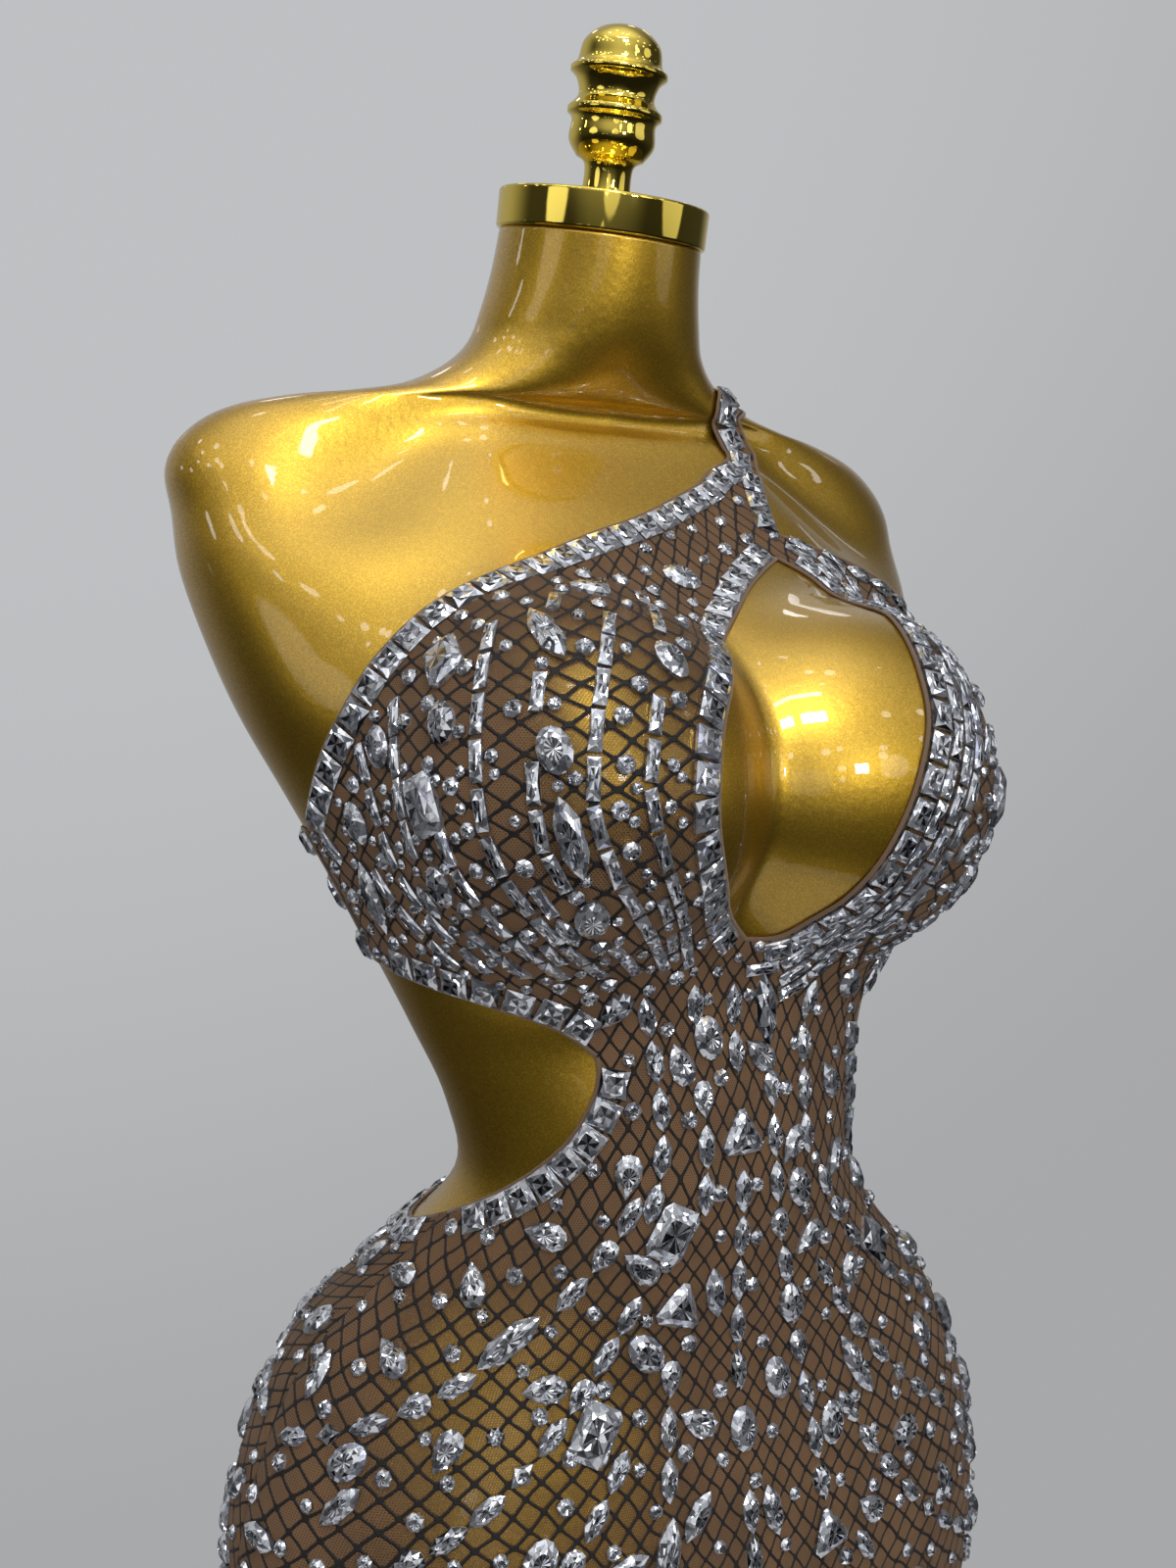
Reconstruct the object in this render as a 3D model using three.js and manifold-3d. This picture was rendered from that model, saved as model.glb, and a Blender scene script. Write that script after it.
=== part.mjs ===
// A rhinestone mini dress on a smooth limbless display form. Millimetres, +Z up, the front towards -Y,
// the wearer's left towards +X. The origin is on the floor, in the middle of the round base.
import * as THREE from "three";
import { mergeVertices } from "three/addons/utils/BufferGeometryUtils.js";
import Module from "manifold-3d";

const wasm = await Module();
wasm.setup();

// ---- Driving dimensions ----
const BASE_RADIUS = 200;
const BASE_THICK = 14;
const POLE_RADIUS = 16;
const WAIST = 640; // the waist's height above the floor
const SEAT_GAP = 0.3; // between pieces that touch

// Sections of the form, foot to neck. up: height above the waist. half: half width. front, back: depth from
// the section's centre, whose y is centre. square: 2 is an ellipse, more is boxier. lean: the ring's forward
// tilt, degrees.
const FORM_SECTIONS = [
  { up: -420, half: 152, front: 96, back: 97, centre: -5, square: 2.1, lean: 0 },
  { up: -390, half: 158, front: 98, back: 102, centre: -5, square: 2.1, lean: 0 },
  { up: -345, half: 169, front: 101, back: 112, centre: -5, square: 2.1, lean: 0 },
  { up: -300, half: 180, front: 104, back: 124, centre: -6, square: 2.1, lean: 0 },
  { up: -250, half: 190, front: 107, back: 136, centre: -8, square: 2.1, lean: 0 },
  { up: -200, half: 197, front: 108, back: 143, centre: -9, square: 2.1, lean: 0 },
  { up: -155, half: 195, front: 106, back: 143, centre: -9, square: 2.1, lean: 0 },
  { up: -115, half: 184, front: 102, back: 134, centre: -7, square: 2.1, lean: 0 },
  { up: -75, half: 163, front: 95, back: 114, centre: -7, square: 2.1, lean: 0 },
  { up: -38, half: 127, front: 86, back: 88, centre: -16, square: 2.1, lean: 0 },
  { up: 0, half: 98, front: 76, back: 65, centre: -29, square: 2.1, lean: 0 },
  { up: 35, half: 102, front: 74, back: 64, centre: -29, square: 2.1, lean: 0 },
  { up: 70, half: 116, front: 77, back: 69, centre: -21, square: 2.1, lean: 0 },
  { up: 105, half: 131, front: 84, back: 76, centre: -10, square: 2.1, lean: 0 },
  { up: 140, half: 146, front: 90, back: 83, centre: 3, square: 2.1, lean: 0 },
  { up: 175, half: 163, front: 98, back: 86, centre: 15, square: 2.1, lean: 0 },
  { up: 210, half: 180, front: 105, back: 83, centre: 27, square: 2.15, lean: 0 },
  { up: 244, half: 192, front: 107, back: 78, centre: 40, square: 2.15, lean: 0 },
  { up: 276, half: 200, front: 100, back: 71, centre: 52, square: 2.2, lean: 0 },
  { up: 302, half: 202, front: 85, back: 66, centre: 58, square: 2.2, lean: 0 },
  { up: 322, half: 204, front: 72, back: 60, centre: 62, square: 2.2, lean: 0 },
  { up: 337, half: 197, front: 61, back: 53, centre: 62, square: 2.15, lean: 0 },
  { up: 350, half: 180, front: 53, back: 48, centre: 60, square: 2.1, lean: 0 },
  { up: 357, half: 156, front: 48, back: 47, centre: 56, square: 2.05, lean: 0 },
  { up: 361, half: 128, front: 46, back: 47, centre: 50, square: 2, lean: 0 },
  { up: 367, half: 99, front: 47, back: 49, centre: 46, square: 2, lean: 0 },
  { up: 378, half: 76, front: 49, back: 50, centre: 42, square: 2, lean: 2 },
  { up: 391, half: 62, front: 50, back: 50, centre: 37, square: 2, lean: 5 },
  { up: 407, half: 56, front: 50, back: 50, centre: 32, square: 2, lean: 9 },
  { up: 425, half: 52, front: 49.5, back: 49.5, centre: 27, square: 2, lean: 12 },
  { up: 443, half: 50, front: 48.5, back: 48.5, centre: 22, square: 2, lean: 14 },
];
// The form's bust: two ellipsoids that blend into the torso and, more tightly, into each other.
const BUST = {
  x: 73, y: -65, up: 180, rx: 70, rxInner: 105, ry: 85, rz: 82, blendTorso: 34, blendEachOther: 6,
};
const AROUND_STEPS = 48;
const FINE_ROWS = { from: 12, to: 18 }; // here the form has a ring at each half row as well

// The neck cap and its turned finial, on the neck's leaning axis. radius and rise, millimetres.
const NECK_CAP = [
  { radius: 51, rise: 0 },
  { radius: 51.8, rise: 0.8 },
  { radius: 51.8, rise: 17.2 },
  { radius: 51, rise: 18 },
];
const FINIAL = [
  { radius: 14, rise: 0 },
  { radius: 12, rise: 3.5 },
  { radius: 12, rise: 15.5 },
  { radius: 16.5, rise: 19 },
  { radius: 21, rise: 26 },
  { radius: 20.5, rise: 35 },
  { radius: 23, rise: 38 },
  { radius: 23, rise: 40.5 },
  { radius: 18.5, rise: 46 },
  { radius: 20, rise: 53 },
  { radius: 23.5, rise: 56.5 },
  { radius: 23.5, rise: 58.5 },
  { radius: 20.5, rise: 61.5 },
  { radius: 18.5, rise: 70 },
  { radius: 12, rise: 76 },
  { radius: 5, rise: 78.4 },
];
const FLANGE = { radius: 42, thick: 4 };

// The dress. Its cloth is stretched round the form.
const HEM_UP = -390;
const CLOTH_GAP = 1.25; // form to cloth
const CLOTH = 1.2; // the cloth's thickness
const SIDE_SEAM = 90; // degrees round from the centre front
const SEAM_HALF = 0.13; // half a seam's gap, degrees
const STRAP_WIDTH = 20;

// Edges of the front, each a smooth line through its rows. around: degrees from the centre front towards the
// left. up: height above the waist.
const NECKLINE = [
  { around: -90, up: 158 },
  { around: -80, up: 180 },
  { around: -69, up: 210 },
  { around: -61, up: 235 },
  { around: -52, up: 257 },
  { around: -40, up: 274 },
  { around: -23, up: 291 },
  { around: -5, up: 302 },
  { around: 11, up: 312 },
  { around: 27, up: 322 },
  { around: 36, up: 330 },
];
const LEFT_EDGE = [
  { around: 42, up: 298 },
  { around: 53, up: 290 },
  { around: 63, up: 279 },
  { around: 72, up: 262 },
  { around: 79, up: 234 },
  { around: 85, up: 196 },
  { around: 90, up: 162 },
];
const KEYHOLE_LEFT = [
  { around: 34, up: 284 },
  { around: 15, up: 265 },
  { around: 1, up: 242 },
  { around: -10, up: 213 },
  { around: -13.5, up: 187 },
  { around: -13.5, up: 160 },
  { around: -8.5, up: 134 },
  { around: 2.5, up: 114 },
];
const KEYHOLE_RIGHT = [
  { around: 2.5, up: 114 },
  { around: 11, up: 115 },
  { around: 15, up: 126 },
  { around: 16.5, up: 143 },
  { around: 17.5, up: 163 },
  { around: 19, up: 186 },
  { around: 21, up: 208 },
  { around: 23, up: 231 },
  { around: 27, up: 249 },
  { around: 35, up: 263 },
  { around: 38, up: 275 },
  { around: 34, up: 284 },
];
// The side cut-outs. The right one is given as degrees towards the right, and reaches further round in front.
const CUT_TOP = [
  { around: 90, up: 100 },
  { around: 77, up: 95 },
  { around: 63, up: 88 },
  { around: 52, up: 79 },
  { around: 44, up: 66 },
];
const CUT_LOW = [
  { around: 44, up: 66 },
  { around: 44.5, up: 57 },
  { around: 48, up: 45 },
  { around: 56, up: 28 },
  { around: 71, up: 8 },
  { around: 90, up: -13 },
];
const LEFT_CUT_TOP = [
  { around: 90, up: 100 },
  { around: 80, up: 98 },
  { around: 70, up: 93 },
  { around: 62, up: 84 },
  { around: 58, up: 70 },
];
const LEFT_CUT_LOW = [
  { around: 58, up: 70 },
  { around: 59, up: 48 },
  { around: 64, up: 24 },
  { around: 76, up: 3 },
  { around: 90, up: -13 },
];
// The back's edges, from a side seam to the centre back.
const SKIRT_BACK_TOP = [
  { around: 90, up: -13 },
  { around: 105, up: -24 },
  { around: 125, up: -20 },
  { around: 150, up: -4 },
  { around: 180, up: 4 },
];
const BAND = { low: 100, high: 159 };
// The strap's middle line, over the left shoulder. place: a row of the form's table, counted from 0.
const STRAP_LINE = [
  { around: 44, place: 20 },
  { around: 51, place: 20.9 },
  { around: 55, place: 22 },
  { around: 59, place: 23.6 },
  { around: 64, place: 24.8 },
  { around: 78, place: 25.6 },
  { around: 96, place: 25.7 },
  { around: 118, place: 24.1 },
  { around: 134, place: 21.5 },
  { around: 150, place: 18.5 },
  { around: 163, place: 16.2 },
  { around: 170, place: 14.6 },
];
const SHOULDER_SEAM = 90; // where the front's strap meets the back's, degrees round
const SHOULDER_GAP = 0.19; // between them, degrees round

// Level rows of larger stones. up: the row's height. from, to: degrees round. turn: each stone's slant in
// degrees, to which fan adds from one end of the row to the other.
const CUP_ROWS = [
  { up: 266, from: -26, to: 0, count: 2, turn: 60 },
  { up: 236, from: -48, to: -18, count: 3, turn: 20 },
  { up: 202, from: -62, to: -34, count: 3, turn: 10 },
  { up: 170, from: -72, to: -34, count: 3, turn: 5 },
  { up: 138, from: -76, to: -34, count: 3, turn: -10 },
  { up: 214, from: 48, to: 74, count: 2, turn: -10 },
  { up: 178, from: 40, to: 76, count: 2, turn: -10 },
  { up: 142, from: 38, to: 74, count: 2, turn: 0 },
];
const FRONT_ROWS = [
  { up: 76, from: -10, to: 12, count: 2, turn: 10 },
  { up: 34, from: 0, to: 0, count: 1, turn: 0 },
  { up: -5, from: -24, to: 24, count: 2, turn: 0, fan: 40 },
  { up: -48, from: -56, to: 56, count: 4, turn: 0, fan: 60 },
  { up: -96, from: -74, to: 74, count: 5, turn: 0, fan: 90 },
  { up: -150, from: -66, to: 66, count: 4, turn: 0, fan: 60 },
  { up: -205, from: -74, to: 74, count: 5, turn: 0, fan: 60 },
  { up: -265, from: -66, to: 66, count: 4, turn: 0, fan: 40 },
  { up: -330, from: -74, to: 74, count: 5, turn: 0, fan: 40 },
];
const BACK_ROWS = [
  { up: -60, from: 125, to: 235, count: 2, turn: 0, fan: 60 },
  { up: -125, from: 106, to: 254, count: 4, turn: 0, fan: 60 },
  { up: -190, from: 118, to: 242, count: 3, turn: 0, fan: 60 },
  { up: -260, from: 106, to: 254, count: 4, turn: 0, fan: 40 },
  { up: -330, from: 118, to: 242, count: 3, turn: 0, fan: 40 },
];
// Cut stones. long, wide: along and across. high: above the cloth. table: the flat top's share of them.
const STONES = {
  square: { long: 11.5, wide: 11.5, high: 3.2, table: 0.62 },
  oval: { long: 18, wide: 13, high: 4.2, table: 0.55 },
  octagon: { long: 25, wide: 18, high: 5, table: 0.6 },
  navette: { long: 34, wide: 12.5, high: 4.6, table: 0.5 },
  triangle: { long: 21, wide: 21, high: 4.6, table: 0.5 },
};

// ---- The form's surface ----
const DEG = Math.PI / 180;
const SECTION_KEYS = ["up", "half", "front", "back", "centre", "square", "lean"];

/** The section at a place t along the table, between its rows by a Catmull-Rom spline. */
function sectionAt(t) {
  const last = FORM_SECTIONS.length - 1;
  const i = Math.min(Math.max(Math.floor(t), 0), last - 1);
  const f = t - i;
  const row = (k) => FORM_SECTIONS[Math.min(Math.max(k, 0), last)];
  const made = {};
  for (const key of SECTION_KEYS) {
    const [a, b, c, d] = [row(i - 1)[key], row(i)[key], row(i + 1)[key], row(i + 2)[key]];
    made[key] = b + 0.5 * f * (c - a + f * (2 * a - 5 * b + 4 * c - d + f * (3 * (b - c) + d - a)));
  }
  return made;
}

/** A rounded minimum of two distances. */
function softMin(a, b, blend) {
  const h = Math.min(Math.max(0.5 + (0.5 * (b - a)) / blend, 0), 1);
  return b + (a - b) * h - blend * h * (1 - h);
}

/** How far a point is outside the form, roughly. direction is its angle round the section's centre. */
function outside(section, radius, sin, cos) {
  const depth = cos > 0 ? section.front : section.back;
  const n = section.square;
  const edge = (Math.abs(sin / section.half) ** n + Math.abs(cos / depth) ** n) ** (-1 / n);
  const torso = radius - edge;
  const x = radius * sin;
  const y = section.centre - radius * cos;
  const cup = (side) => {
    const reach = side * x < BUST.x ? BUST.rxInner : BUST.rx;
    const q = Math.hypot(
      (x - side * BUST.x) / reach,
      (y - BUST.y) / BUST.ry,
      (section.up - BUST.up) / BUST.rz,
    );
    return (q - 1) * BUST.rx;
  };
  return softMin(torso, softMin(cup(-1), cup(1), BUST.blendEachOther), BUST.blendTorso);
}

/** A point of the form's surface: around in degrees from the centre front to the left, t along the table. */
function formPoint(around, t) {
  const section = sectionAt(t);
  const sin = Math.sin(around * DEG);
  const cos = Math.cos(around * DEG);
  let low = 0;
  let high = 260;
  for (let k = 0; k < 26; k += 1) {
    const mid = (low + high) / 2;
    if (outside(section, mid, sin, cos) > 0) high = mid;
    else low = mid;
  }
  const dy = -low * cos;
  const z = WAIST + section.up + Math.tan(section.lean * DEG) * dy;
  return new THREE.Vector3(low * sin, section.centre + dy, z);
}

/** A closed geometry from rings of the same number of points, bottom to top. */
function loft(rings) {
  const n = rings[0].length;
  const points = rings.flat();
  const middle = (ring) => ring.reduce((sum, p) => sum.add(p), new THREE.Vector3()).divideScalar(n);
  points.push(middle(rings[0]), middle(rings.at(-1)));
  const index = [];
  const top = (rings.length - 1) * n;
  for (let j = 0; j < n; j += 1) {
    const k = (j + 1) % n;
    for (let i = 0; i < rings.length - 1; i += 1) {
      const [a, b, c, d] = [i * n + j, i * n + k, i * n + n + k, i * n + n + j];
      index.push(a, b, c, a, c, d);
    }
    index.push(points.length - 2, k, j);
    index.push(points.length - 1, top + j, top + k);
  }
  const geometry = new THREE.BufferGeometry().setFromPoints(points);
  geometry.setIndex(index);
  return geometry;
}


/** Where a height above the waist is along the table, below the neck. */
function placeOf(up) {
  let low = 0;
  let high = FORM_SECTIONS.length - 1;
  for (let k = 0; k < 40; k += 1) {
    const mid = (low + high) / 2;
    if (sectionAt(mid).up > up) high = mid;
    else low = mid;
  }
  return low;
}

// The form's rings, and the outward direction at each of their points.
const RING_PLACES = [];
for (let row = 0; row < FORM_SECTIONS.length; row += 1) {
  RING_PLACES.push(row);
  if (row >= FINE_ROWS.from && row < FINE_ROWS.to) RING_PLACES.push(row + 0.5);
}
const AROUND_STEP = 360 / AROUND_STEPS;
const COLUMNS = Array.from({ length: AROUND_STEPS }, (_, j) => j * AROUND_STEP);
const RINGS = RING_PLACES.map((t) => COLUMNS.map((around) => formPoint(around, t)));

/** The two directions along the form's surface per degree round and per row up. */
function slopesAt(around, t) {
  const last = FORM_SECTIONS.length - 1;
  const low = Math.max(t - 0.02, 0);
  const high = Math.min(t + 0.02, last);
  const round = formPoint(around + 0.4, t).sub(formPoint(around - 0.4, t)).divideScalar(0.8);
  const rise = formPoint(around, high).sub(formPoint(around, low)).divideScalar(high - low);
  return { round, rise };
}

/** The outward direction of the form's surface at a place. */
function outwardAt(around, t) {
  const { round, rise } = slopesAt(around, t);
  return round.cross(rise).normalize();
}

const OUTWARD = RING_PLACES.map((t) => COLUMNS.map((around) => outwardAt(around, t)));

/** The corners of the form's facet at a place, each with its share: column round, ring, share. */
function cornersAt(around, t) {
  let i = 0;
  while (i < RING_PLACES.length - 2 && RING_PLACES[i + 1] <= t + 1e-9) i += 1;
  const v = (t - RING_PLACES[i]) / (RING_PLACES[i + 1] - RING_PLACES[i]);
  const j = Math.floor(around / AROUND_STEP + 1e-9);
  const u = around / AROUND_STEP - j;
  const third = v <= u ? [j + 1, i, u - v] : [j, i + 1, v - u];
  return [[j, i, 1 - Math.max(u, v)], third, [j + 1, i + 1, Math.min(u, v)]];
}

/** A point over the form's own facets: around in degrees, t along the table, out from it in millimetres. */
function over(around, t, out) {
  const made = new THREE.Vector3();
  for (const [column, ring, share] of cornersAt(around, t)) {
    const j = ((column % AROUND_STEPS) + AROUND_STEPS) % AROUND_STEPS;
    made.addScaledVector(RINGS[ring][j], share).addScaledVector(OUTWARD[ring][j], share * out);
  }
  return made;
}

// ---- Flat patterns: x is degrees round, y is rows of the table times ROW, z is off the cloth's inside ----
const ROW = 16;
const DOME = { x: 90, y: 200, drop: 1 / 1600 };

/** The flat patterns lie on a low dome of the same facets, so that no facet is level with the next. */
const domeAt = (x, y) => -DOME.drop * ((x - DOME.x) ** 2 + (y - DOME.y) ** 2);
function liftAt(x, y) {
  let lift = 0;
  for (const [j, i, share] of cornersAt(x, y / ROW)) {
    lift += share * domeAt(j * AROUND_STEP, RING_PLACES[i] * ROW);
  }
  return lift;
}

/** The degrees and rows that lead from a place to an offset in millimetres along the form's surface. */
function stepOn(around, t, offset) {
  const { round, rise } = slopesAt(around, t);
  const [uu, uv, vv] = [round.dot(round), round.dot(rise), rise.dot(rise)];
  const [a, b] = [round.dot(offset), rise.dot(offset)];
  const det = uu * vv - uv * uv;
  return { around: (a * vv - b * uv) / det, place: (b * uu - a * uv) / det };
}

/** A smooth line through a table's rows, as flat points. */
function smooth(rows, steps = 8) {
  const points = rows.map((row) => new THREE.Vector2(row.around, (row.place ?? placeOf(row.up)) * ROW));
  const curve = new THREE.SplineCurve(points);
  return curve.getPoints((rows.length - 1) * steps);
}

const mirrored = (rows) => rows.map((row) => ({ ...row, around: -row.around }));

/** A flat line moved sideways by a distance in millimetres on the form, to its left as it runs. */
function besideLine(line, distance) {
  return line.map((point, k) => {
    const before = line[Math.max(k - 1, 0)];
    const after = line[Math.min(k + 1, line.length - 1)];
    const t = point.y / ROW;
    const { round, rise } = slopesAt(point.x, t);
    const along = round.clone().multiplyScalar(after.x - before.x);
    along.addScaledVector(rise, (after.y - before.y) / ROW).normalize();
    const out = round.clone().cross(rise).normalize();
    const step = stepOn(point.x, t, out.cross(along).multiplyScalar(distance));
    return new THREE.Vector2(point.x + step.around, point.y + step.place * ROW);
  });
}

const { Manifold, CrossSection, Mesh } = wasm;
const flatShape = (points) => new CrossSection([points.map((p) => [p.x, p.y])], "NonZero");

/** A flat slab of cloth whose squares are those of the form's rings, from one angle round to another. */
function slab(from, to) {
  const columns = [];
  for (let around = from; around <= to + 1e-6; around += AROUND_STEP) columns.push(around);
  const rows = RING_PLACES.map((t) => t * ROW);
  const points = [];
  for (const z of [0, CLOTH]) {
    for (const y of rows) {
      for (const x of columns) points.push(x, y, z + domeAt(x, y));
    }
  }
  const n = columns.length;
  const layer = n * rows.length;
  const triangles = [];
  const quad = (a, b, c, d) => triangles.push(a, b, c, a, c, d);
  for (let i = 0; i < rows.length - 1; i += 1) {
    for (let j = 0; j < n - 1; j += 1) {
      const [a, b, c, d] = [i * n + j, i * n + j + 1, i * n + n + j + 1, i * n + n + j];
      quad(a, d, c, b);
      quad(a + layer, b + layer, c + layer, d + layer);
    }
    quad(i * n + n, i * n, i * n + layer, i * n + n + layer);
    quad(i * n + n - 1, i * n + 2 * n - 1, i * n + 2 * n - 1 + layer, i * n + n - 1 + layer);
  }
  const top = (rows.length - 1) * n;
  for (let j = 0; j < n - 1; j += 1) {
    quad(j, j + 1, j + 1 + layer, j + layer);
    quad(top + j + 1, top + j, top + j + layer, top + j + 1 + layer);
  }
  const faceID = new Uint32Array(triangles.length / 3).map((_, k) => k >> 1);
  const made = new Mesh({
    numProp: 3,
    vertProperties: new Float32Array(points),
    triVerts: new Uint32Array(triangles),
    faceID,
  });
  return new Manifold(made);
}

// Each cut's outline, as shares of its half length and half width.
const CHOP = 0.72;
const roundCorners = Array.from({ length: 8 }, (_, k) => (k + 0.5) * 45 * DEG);
const OUTLINES = {
  square: [[1, 1], [-1, 1], [-1, -1], [1, -1]],
  oval: roundCorners.map((angle) => [Math.cos(angle), Math.sin(angle)]),
  navette: [[1, 0], [0.45, 0.85], [-0.45, 0.85], [-1, 0], [-0.45, -0.85], [0.45, -0.85]],
  triangle: [[1, 0.14], [1, -0.14], [-0.5, -1], [-0.8, -0.8], [-0.8, 0.8], [-0.5, 1]],
  octagon: [[1, CHOP], [CHOP, 1], [-CHOP, 1], [-1, CHOP], [-1, -CHOP], [-CHOP, -1], [CHOP, -1], [1, -CHOP]],
};

/** A stone standing on the flat pattern. turn: degrees from straight up the surface, towards the left. */
function stone(kind, around, t, turn) {
  const size = STONES[kind];
  const out = outwardAt(around, t);
  const along = slopesAt(around, t).rise.normalize().applyAxisAngle(out, turn * DEG);
  const across = out.clone().cross(along);
  const points = [];
  for (const [share, z] of [[1, CLOTH - 0.3], [size.table, CLOTH + size.high]]) {
    for (const [a, b] of OUTLINES[kind]) {
      const offset = along.clone().multiplyScalar((a * share * size.long) / 2);
      offset.addScaledVector(across, (b * share * size.wide) / 2);
      const step = stepOn(around, t, offset);
      const [x, y] = [around + step.around, (t + step.place) * ROW];
      points.push([x, y, z + liftAt(x, y)]);
    }
  }
  return Manifold.hull(points);
}

/** Stones in an even row beside a flat line; side is 1 on its left as it runs and -1 on its right. */
function stoneRow(kind, line, { inset, pitch, ends = 0, side = 1 }) {
  const middle = besideLine(line, side * inset);
  const places = middle.map((p) => over(p.x, p.y / ROW, CLOTH_GAP + CLOTH));
  const lengths = [0];
  for (let k = 1; k < places.length; k += 1) {
    lengths.push(lengths[k - 1] + places[k].distanceTo(places[k - 1]));
  }
  const total = lengths.at(-1) - 2 * ends;
  const count = Math.max(Math.round(total / pitch), 1);
  const stones = [];
  for (let n = 0; n < count; n += 1) {
    const at = ends + ((n + 0.5) * total) / count;
    let k = 1;
    while (k < lengths.length - 1 && lengths[k] < at) k += 1;
    const f = (at - lengths[k - 1]) / (lengths[k] - lengths[k - 1]);
    const p = middle[k - 1].clone().lerp(middle[k], f);
    const t = p.y / ROW;
    const { round, rise } = slopesAt(p.x, t);
    const run = round.clone().multiplyScalar(middle[k].x - middle[k - 1].x);
    run.addScaledVector(rise, (middle[k].y - middle[k - 1].y) / ROW).normalize();
    const out = round.clone().cross(rise).normalize();
    const up = rise.clone().normalize();
    const turn = Math.atan2(out.clone().cross(up).dot(run), up.dot(run)) / DEG;
    stones.push(stone(kind, p.x, t, turn));
  }
  return stones;
}

const object = new THREE.Group();
const add = (name, geometry, material) => {
  const mesh = new THREE.Mesh(geometry, material);
  mesh.name = name;
  object.add(mesh);
  return mesh;
};

/** Cuts a piece of cloth to its flat outline, sets its stones, and wraps it round the form. */
function cloth(name, flat, outline, stones, material) {
  const cutter = outline.extrude(2000).translate([0, 0, -1500]);
  const cut = flat.intersect(cutter);
  const made = stones.length ? Manifold.union([cut, ...stones]) : cut;
  const { vertProperties, triVerts, numProp } = made.getMesh();
  const points = [];
  for (let k = 0; k < vertProperties.length; k += numProp) {
    const [x, y, z] = vertProperties.slice(k, k + 3);
    points.push(over(x, y / ROW, CLOTH_GAP + z - liftAt(x, y)));
  }
  const geometry = new THREE.BufferGeometry().setFromPoints(points);
  geometry.setIndex([...triVerts]);
  add(name, mergeVertices(geometry, 0.004), material);
}

const GOLD_PAINT = new THREE.MeshStandardMaterial({ color: 0xb58a1e, roughness: 0.35, metalness: 0.8 });
const GOLD_METAL = new THREE.MeshStandardMaterial({ color: 0xd9b23c, roughness: 0.12, metalness: 1 });
const STEEL = new THREE.MeshStandardMaterial({ color: 0xc4c6c8, roughness: 0.25, metalness: 1 });
const MESH_CLOTH = new THREE.MeshStandardMaterial({ color: 0x4a3026, roughness: 0.7, metalness: 0 });

const strapLine = smooth(STRAP_LINE, 10);
const strapInner = besideLine(strapLine, STRAP_WIDTH / 2);
const strapOuter = besideLine(strapLine, -STRAP_WIDTH / 2);

/** The part of a flat line between two angles round. */
const between = (line, from, to) => line.filter((p) => p.x > from && p.x < to);

/** The same corner points, run through smoothly. */
const smoothPoints = (points, steps) =>
  new THREE.SplineCurve(points).getPoints((points.length - 1) * steps);

const atUp = (around, up) => new THREE.Vector2(around, placeOf(up) * ROW);

/** Larger stones in level rows, their kinds taken in turn. */
function scatter(rows, kinds) {
  const stones = [];
  rows.forEach((row, r) => {
    for (let n = 0; n < row.count; n += 1) {
      const f = row.count > 1 ? n / (row.count - 1) : 0.5;
      const around = row.from + f * (row.to - row.from);
      const kind = kinds[(r * 2 + n) % kinds.length];
      const slant = row.turn + (row.fan ?? 0) * (f - 0.5);
      stones.push(stone(kind, around, placeOf(row.up + (n % 2 ? 5 : -5)), slant));
    }
  });
  return stones;
}

function makeForm() {
  add("form_body", loft(RINGS), GOLD_PAINT);
}

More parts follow.
